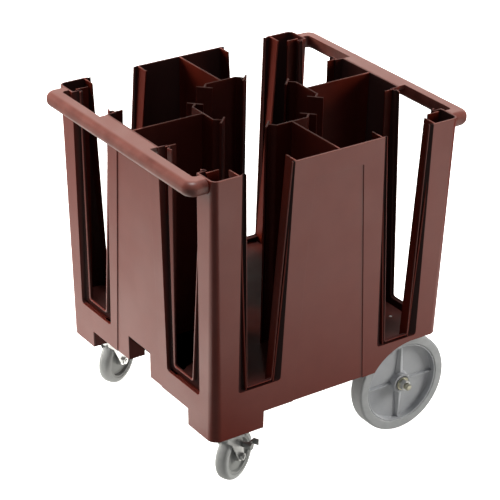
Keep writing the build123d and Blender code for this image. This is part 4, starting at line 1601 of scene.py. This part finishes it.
@dataclass
class Caster:
    """Swivel caster with a crowned tread and a side brake."""

    shop: Workshop
    side: Side
    radius: float = 63.5
    crown_drop: float = 3.2
    shoulder_drop: float = 3.4
    shoulder_power: int = 7
    crown_inset: float = 0.4
    crown_steps: int = 14
    flank_drop: float = 9.5
    half: float = 16.0
    tread_inner: float = 49.0
    tread_gap: float = 0.05
    ring_inner: float = 43.0
    ring_set: Span = (1.6, 1.0)
    web_half: float = 7.0
    web_draft: Span = (1.0, 1.5)
    web_fillet: float = 1.5
    edge_round: float = 0.8
    rim_round: float = 0.5
    hub: float = 14.0
    hub_half: float = 18.4
    bush: float = 8.0
    plate_edge: float = 0.7
    fork_edge: float = 1.1
    fork_half: float = 22.0
    head_across: float = 17.0
    head: float = 7.0
    flange: float = 9.4
    bolt: float = 5.0
    bolt_tip: tuple[Point, ...] = ((1.2, 5.0), (2.0, 4.0), (2.0, 0.0))
    trail: float = 38.0
    brake_edge: float = 0.9
    brake_y: float = 44.0
    brake_z: float = 94.0
    brake_out: float = 39.6
    brake_flange: float = 9.0
    brake_shank: tuple[Point, ...] = ((-20.6, 0.0), (-20.6, 4.0), (0.2, 4.0), (0.2, 0.0))
    race: tuple[Triple, ...] = (
        (147.6, 19.0, 0), (147.6, 28.0, 1.2), (149.8, 30.0, 1.0), (151.4, 27.0, 0.8), (153.7, 31.0, 1.0),
        (153.9, 19.0, 0),
    )

    def build(self) -> None:
        """Build and dress the caster."""
        name = self.side.value
        self.swivel = Matrix.Translation((self.side.sign * CASTER_X * MM, CASTER_Y * MM, 0))
        self.turn = self.swivel @ Matrix.Rotation(math.radians(CASTER_YAW[self.side]), 4, "Z")
        self.hub_place = self.turn @ Matrix.Translation((0, self.trail * MM, self.radius * MM))
        self.wheel(name)
        self.frame_parts(name)
        self.brake(name)

    def wheel(self, name: str) -> None:
        """Build the tread, core and bush.

        Args:
            name: The side's name.
        """
        body = f"caster_wheel_{name}"
        half = self.half
        flank = [(-half, self.tread_inner), (-half, self.radius - self.flank_drop)]
        tread = list(flank)
        for step in range(self.crown_steps + 1):
            part = -1 + 2 * step / self.crown_steps
            drop = self.crown_drop * part ** 2 + self.shoulder_drop * abs(part) ** self.shoulder_power
            tread.append((part * (half - self.crown_inset), self.radius - drop))
        tread += [(-along, radius) for along, radius in reversed(flank)]
        shape = turned(tread, self.hub_place)
        self.shop.make(f"tread_{name}", shape, SOFT_ANGLE, "tread_grey", body, f"caster_wheel_tread_{name}")
        core = symmetric([
            (self.hub_half, self.bush, 0),
            (self.hub_half, self.hub, self.edge_round),
            (self.web_half, self.hub + self.web_draft[0], self.web_fillet),
            (self.web_half, self.ring_inner - self.web_draft[1], self.web_fillet),
            (half - self.ring_set[0], self.ring_inner, self.edge_round),
            (half - self.ring_set[1], self.tread_inner - self.tread_gap, self.rim_round),
        ])
        shape = turned(core, self.hub_place, RING_STEPS)
        self.shop.make(f"core_{name}", shape, MOULDED_ANGLE, "core_grey", body, f"caster_wheel_core_{name}")
        self.shop.keep(f"caster_wheel_bush_{name}", "bush_nylon")

    def frame_parts(self, name: str) -> None:
        """Build the plate, race, kingpin, fork and axle bolt.

        Args:
            name: The side's name.
        """
        fork, plate = f"caster_fork_{name}", f"caster_top_plate_{name}"
        self.shop.copy(f"mounting_plate_{name}", plate, self.plate_edge, "zinc_steel", CART)
        upward = self.swivel @ Matrix.Rotation(-math.pi / 2, 4, "Y")
        race = turned(soft_profile(list(self.race)), upward, RING_STEPS)
        self.shop.make(f"ball_race_{name}", race, METAL_ANGLE, "zinc_steel", CART)
        self.shop.keep(f"caster_kingpin_{name}", "zinc_steel")
        self.shop.copy(f"pressed_fork_{name}", fork, self.fork_edge, "zinc_steel", fork)
        right = Matrix.Translation((self.fork_half * MM, 0, 0))
        left = self.hub_place @ Matrix.Rotation(math.pi, 4, "Z") @ right
        nut_end = self.fork_half + self.head
        shank = [(-self.fork_half, 0), (-self.fork_half, self.bolt)]
        shank += [(nut_end + beyond, radius) for beyond, radius in self.bolt_tip]
        bolt = bmesh.new()
        pour(hex_head(self.head_across, self.head, left, 0.0, self.flange), bolt)
        pour(hex_head(self.head_across, self.head, self.hub_place @ right, self.bolt, self.flange), bolt)
        pour(turned(shank, self.hub_place, SHANK_STEPS), bolt)
        self.shop.make(f"axle_bolt_{name}", bolt, METAL_ANGLE, "zinc_steel", fork, f"caster_axle_bolt_{name}")

    def brake(self, name: str) -> None:
        """Build the side brake and its bolt.

        Args:
            name: The side's name.
        """
        arm, lever, brake = f"brake_arm_{name}", f"caster_brake_lever_{name}", f"caster_brake_{name}"
        self.shop.copy(arm, lever, self.brake_edge, "dark_steel", brake)
        at = self.turn @ Matrix.Translation((self.brake_out * MM, self.brake_y * MM, self.brake_z * MM))
        bolt = bmesh.new()
        pour(hex_head(self.head_across, self.head, at, 0.0, self.brake_flange), bolt)
        pour(turned(list(self.brake_shank), at, SHANK_STEPS), bolt)
        made, fork = f"brake_pivot_bolt_{name}", f"caster_fork_{name}"
        self.shop.make(made, bolt, METAL_ANGLE, "dark_steel", fork, f"caster_brake_bolt_{name}")


@dataclass
class PlateBolts:
    """Bolts that hold the caster plates."""

    shop: Workshop
    bolts: BoltTree
    seat: float = 154.0
    pitch: Point = (76.0, 58.0)

    def build(self) -> None:
        """Build and dress the bolts."""
        BoltGroup(
            self.shop, self.bolts, "plate_bolts", "caster_plate_bolts", CASTER_X, CASTER_Y, self.seat,
            self.pitch, (2, 2), seed=5,
        ).build()


# ---------------------------------------------------------------- stage
@dataclass(frozen=True)
class Camera:
    """View of the reference picture."""

    azimuth: float = 55.14
    elevation: float = 26.76
    roll: float = 1.12
    shift_right: float = 1.36
    shift_up: float = 385.85
    distance: float = 4918.87
    focal: float = 1959.46
    picture: float = 500.0
    sensor: float = 36.0
    far: float = 200.0

    def build(self) -> None:
        """Set the camera."""
        azimuth = math.radians(self.azimuth)
        elevation = math.radians(self.elevation)
        roll = math.radians(self.roll)
        level = math.cos(elevation)
        back = Vector((math.sin(azimuth) * level, -math.cos(azimuth) * level, math.sin(elevation)))
        right = Vector((math.cos(azimuth), math.sin(azimuth), 0))
        up = back.cross(right)
        across = right * math.cos(roll) + up * math.sin(roll)
        upward = up * math.cos(roll) - right * math.sin(roll)
        place = (back * self.distance + across * self.shift_right + upward * self.shift_up) * MM
        lens = bpy.data.cameras.new("view_camera")
        lens.sensor_fit = "HORIZONTAL"
        lens.sensor_width = self.sensor
        lens.lens = self.focal * self.sensor / self.picture
        lens.clip_end = self.far
        made = bpy.data.objects.new("view_camera", lens)
        turn = Matrix((across, upward, back)).transposed().to_4x4()
        made.matrix_world = Matrix.Translation(place) @ turn
        bpy.context.scene.collection.objects.link(made)
        bpy.context.scene.camera = made


@dataclass(frozen=True)
class Softbox:
    """Square soft light: where it stands, its width and its power in watts."""

    name: str
    place: Triple
    size: float
    power: float


@dataclass(frozen=True)
class Card:
    """White card that only the satin surfaces or only the matt ones see.

    It is tilted about X, moved out, turned about Z and set on its foot. Its glow is its brightness near the
    cart and further off, near is how much of that is left right beside the cart, and a soft card is the kind
    that lights matt surfaces.
    """

    name: str
    size: Point
    glow: Span
    foot: Triple = (0, 0, 0)
    turn: float = 0.0
    out: Triple = (0, 0, 0)
    tilt: float = 0.0
    near: float = 1.0
    soft: bool = False

    def place(self) -> Matrix:
        """Where the card stands.

        Returns:
            Its place and turn.
        """
        turn, tilt = math.radians(self.turn), math.radians(self.tilt)
        foot = Matrix.Translation(self.foot) @ Matrix.Rotation(turn, 4, "Z")
        return foot @ Matrix.Translation(self.out) @ Matrix.Rotation(tilt, 4, "X")


FLOOR_CARD: Point = (4.4, 1.9)
SLANT = 34.8
SOFTBOXES = (
    Softbox("left_softbox", (-3.2, -2.3, 1.6), 2.6, 300.0),
    Softbox("right_softbox", (2.0, 3.6, 1.8), 2.2, 175.0),
)
CARDS = (
    Card("left_reflector", FLOOR_CARD, (2.3, 0.9), (0, -0.33, 0.004), SLANT, (-2.2, 0, 0)),
    Card("right_reflector", FLOOR_CARD, (1.1, 2.1), (0.33, 0, 0.004), SLANT, (2.2, 0, 0), near=0.3),
    Card("under_card", (0.7, 0.9), (0.9, 0.9), foot=(0, 0, 0.003)),
    Card("back_reflector", (9.0, 5.6), (1.6, 1.6), turn=55.0, out=(0, 5.5, 3.4), tilt=90.0),
    Card("floor_bounce", (16.0, 16.0), (0.55, 0.4), foot=(0, 0, 0.002), soft=True),
)


@dataclass(frozen=True)
class Studio:
    """Pale floor and soft light."""

    floor_half: float = 20.0
    floor_glow: float = 0.85
    floor_noise: Span = (0.8, 2.0)
    floor_tones: tuple[Colour, Colour] = ((0.88, 0.88, 0.88), (0.92, 0.92, 0.92))
    floor_roughness: float = 0.9
    ambient: float = 0.12
    overhead: float = 2.8
    overhead_angle: float = 14.0
    overhead_place: Triple = (0, 0, 5)
    aim: Triple = (0, 0, 0.45)
    falloff: Span = (0.8, 1.8)
    contact: Span = (0.5, 0.85)
    warm: Colour = (1.0, 0.97, 0.9)
    dark: Colour = (0.02, 0.02, 0.02)
    corner_place: Triple = (2.3, -2.44, 0.006)
    corner_size: Point = (4.0, 4.72)
    card_gap: float = 0.04
    card_size: Point = (0.62, 0.62)

    def build(self) -> None:
        """Build the floor, the lights and the world."""
        self.floor()
        for softbox in SOFTBOXES:
            self.panel(softbox)
        self.skylight()
        for card in CARDS:
            self.reflector(card)
        self.flag("corner_flag", self.corner_place, self.corner_size)
        over = (0, 0, Vector(CAD_BOX[1]).z + self.card_gap)
        self.flag("top_flag", over, self.card_size, shadow=True)
        self.world()
        bpy.context.scene.view_settings.view_transform = "Standard"

    def world(self) -> None:
        """Build a world that is pale to the camera and dim to the cart."""
        world = bpy.data.worlds.new("studio")
        world.use_nodes = True
        wiring = Wiring()
        wiring.tree = world.node_tree
        seen = wiring.add("ShaderNodeLightPath").outputs["Is Camera Ray"]
        level = wiring.add("ShaderNodeMapRange", {"To Min": self.ambient, "To Max": 1.0, "Value": seen})
        feeds = {"Color": (1, 1, 1, 1), "Strength": level.outputs["Result"]}
        wiring.feed(world.node_tree.nodes["Background"], feeds)
        bpy.context.scene.world = world

    def skylight(self) -> None:
        """Light that falls straight down, with soft edges."""
        light = bpy.data.lights.new("overhead", "SUN")
        light.energy = self.overhead
        light.angle = math.radians(self.overhead_angle)
        made = bpy.data.objects.new("overhead", light)
        made.location = self.overhead_place
        bpy.context.scene.collection.objects.link(made)

    def plane(self, name: str, place: Matrix, size: Point) -> bpy.types.Object:
        """Flat rectangle.

        Args:
            name: Its name.
            place: Where it stands. Unturned, it faces up.
            size: Its width and depth.

        Returns:
            The rectangle.
        """
        mesh = bpy.data.meshes.new(name)
        x, y = size[0] / 2, size[1] / 2
        corners = [place @ Vector((*corner, 0)) for corner in ((-x, -y), (x, -y), (x, y), (-x, y))]
        mesh.from_pydata(corners, [], [(0, 1, 2, 3)])
        made = bpy.data.objects.new(name, mesh)
        bpy.context.scene.collection.objects.link(made)
        return made

    def floor(self) -> None:
        """Build the floor."""
        made = self.plane("pale_floor", Matrix(), (self.floor_half * 2, self.floor_half * 2))
        nodes = Nodes("pale_floor")
        nodes.feed(nodes.shader, {
            "Base Color": nodes.blend(nodes.noise(*self.floor_noise), *self.floor_tones),
            "Roughness": self.floor_roughness,
            "Emission Color": (1, 1, 1, 1),
            "Emission Strength": self.floor_glow,
        })
        made.data.materials.append(nodes.material)
        made.visible_diffuse = False
        made.visible_glossy = False

    def panel(self, softbox: Softbox) -> None:
        """Aim a soft light at the cart.

        Args:
            softbox: The light.
        """
        light = bpy.data.lights.new(softbox.name, "AREA")
        light.shape = "SQUARE"
        light.size = softbox.size
        light.energy = softbox.power
        light.color = self.warm
        made = bpy.data.objects.new(softbox.name, light)
        made.location = softbox.place
        aim = Vector(self.aim) - Vector(softbox.place)
        made.rotation_euler = aim.to_track_quat("-Z", "Y").to_euler()
        made.visible_glossy = False
        bpy.context.scene.collection.objects.link(made)

    def reflector(self, card: Card) -> None:
        """Set up a glowing card.

        Args:
            card: The card.
        """
        made = self.plane(card.name, card.place(), card.size)
        nodes = Nodes(card.name)
        away = nodes.add("ShaderNodeVectorMath", {0: nodes.where}, operation="LENGTH").outputs["Value"]
        far = nodes.spread(away, *self.falloff, *card.glow)
        beside = nodes.spread(away, *self.contact, card.near, 1.0)
        both = nodes.add("ShaderNodeMath", {0: far, 1: beside}, operation="MULTIPLY")
        feeds = {"Color": (*self.warm, 1), "Strength": both.outputs[0]}
        glow = nodes.add("ShaderNodeEmission", feeds)
        nodes.feed(nodes.tree.nodes["Material Output"], {"Surface": glow.outputs[0]})
        made.data.materials.append(nodes.material)
        self.only(made, glossy=not card.soft, diffuse=card.soft)

    def flag(self, name: str, place: Triple, size: Point, shadow: bool = False) -> None:
        """Dark card: the near corner mirrors it, or it shades the inside.

        Args:
            name: Its name.
            place: Where it lies.
            size: Its width and depth.
            shadow: Whether it shades and isn't mirrored.
        """
        made = self.plane(name, Matrix.Translation(place), size)
        nodes = Nodes(name)
        nodes.feed(nodes.shader, {"Base Color": (*self.dark, 1)})
        if not shadow:
            nodes.feed(nodes.shader, {"Roughness": 1.0})
        made.data.materials.append(nodes.material)
        self.only(made, glossy=not shadow, diffuse=False)
        made.visible_shadow = shadow

    def only(self, made: bpy.types.Object, glossy: bool, diffuse: bool) -> None:
        """Limit what sees a card.

        Args:
            made: The card.
            glossy: Whether reflections see it.
            diffuse: Whether soft bounces see it.
        """
        made.visible_camera = False
        made.visible_shadow = False
        made.visible_transmission = False
        made.visible_glossy = glossy
        made.visible_diffuse = diffuse


def main() -> None:
    """Build the cart piece by piece, then the stage."""
    logging.basicConfig(level=logging.INFO)
    shop = Workshop()
    spokes = SpokeTree()
    bolts = BoltTree()
    CartBody(shop).build()
    PushBars(shop).build()
    AxleSet(shop, bolts).build()
    PlateBolts(shop, bolts).build()
    for side in Side:
        RearWheel(shop, side, spokes).build()
        Caster(shop, side).build()
    Camera().build()
    Studio().build()


if __name__ == "__main__":
    main()
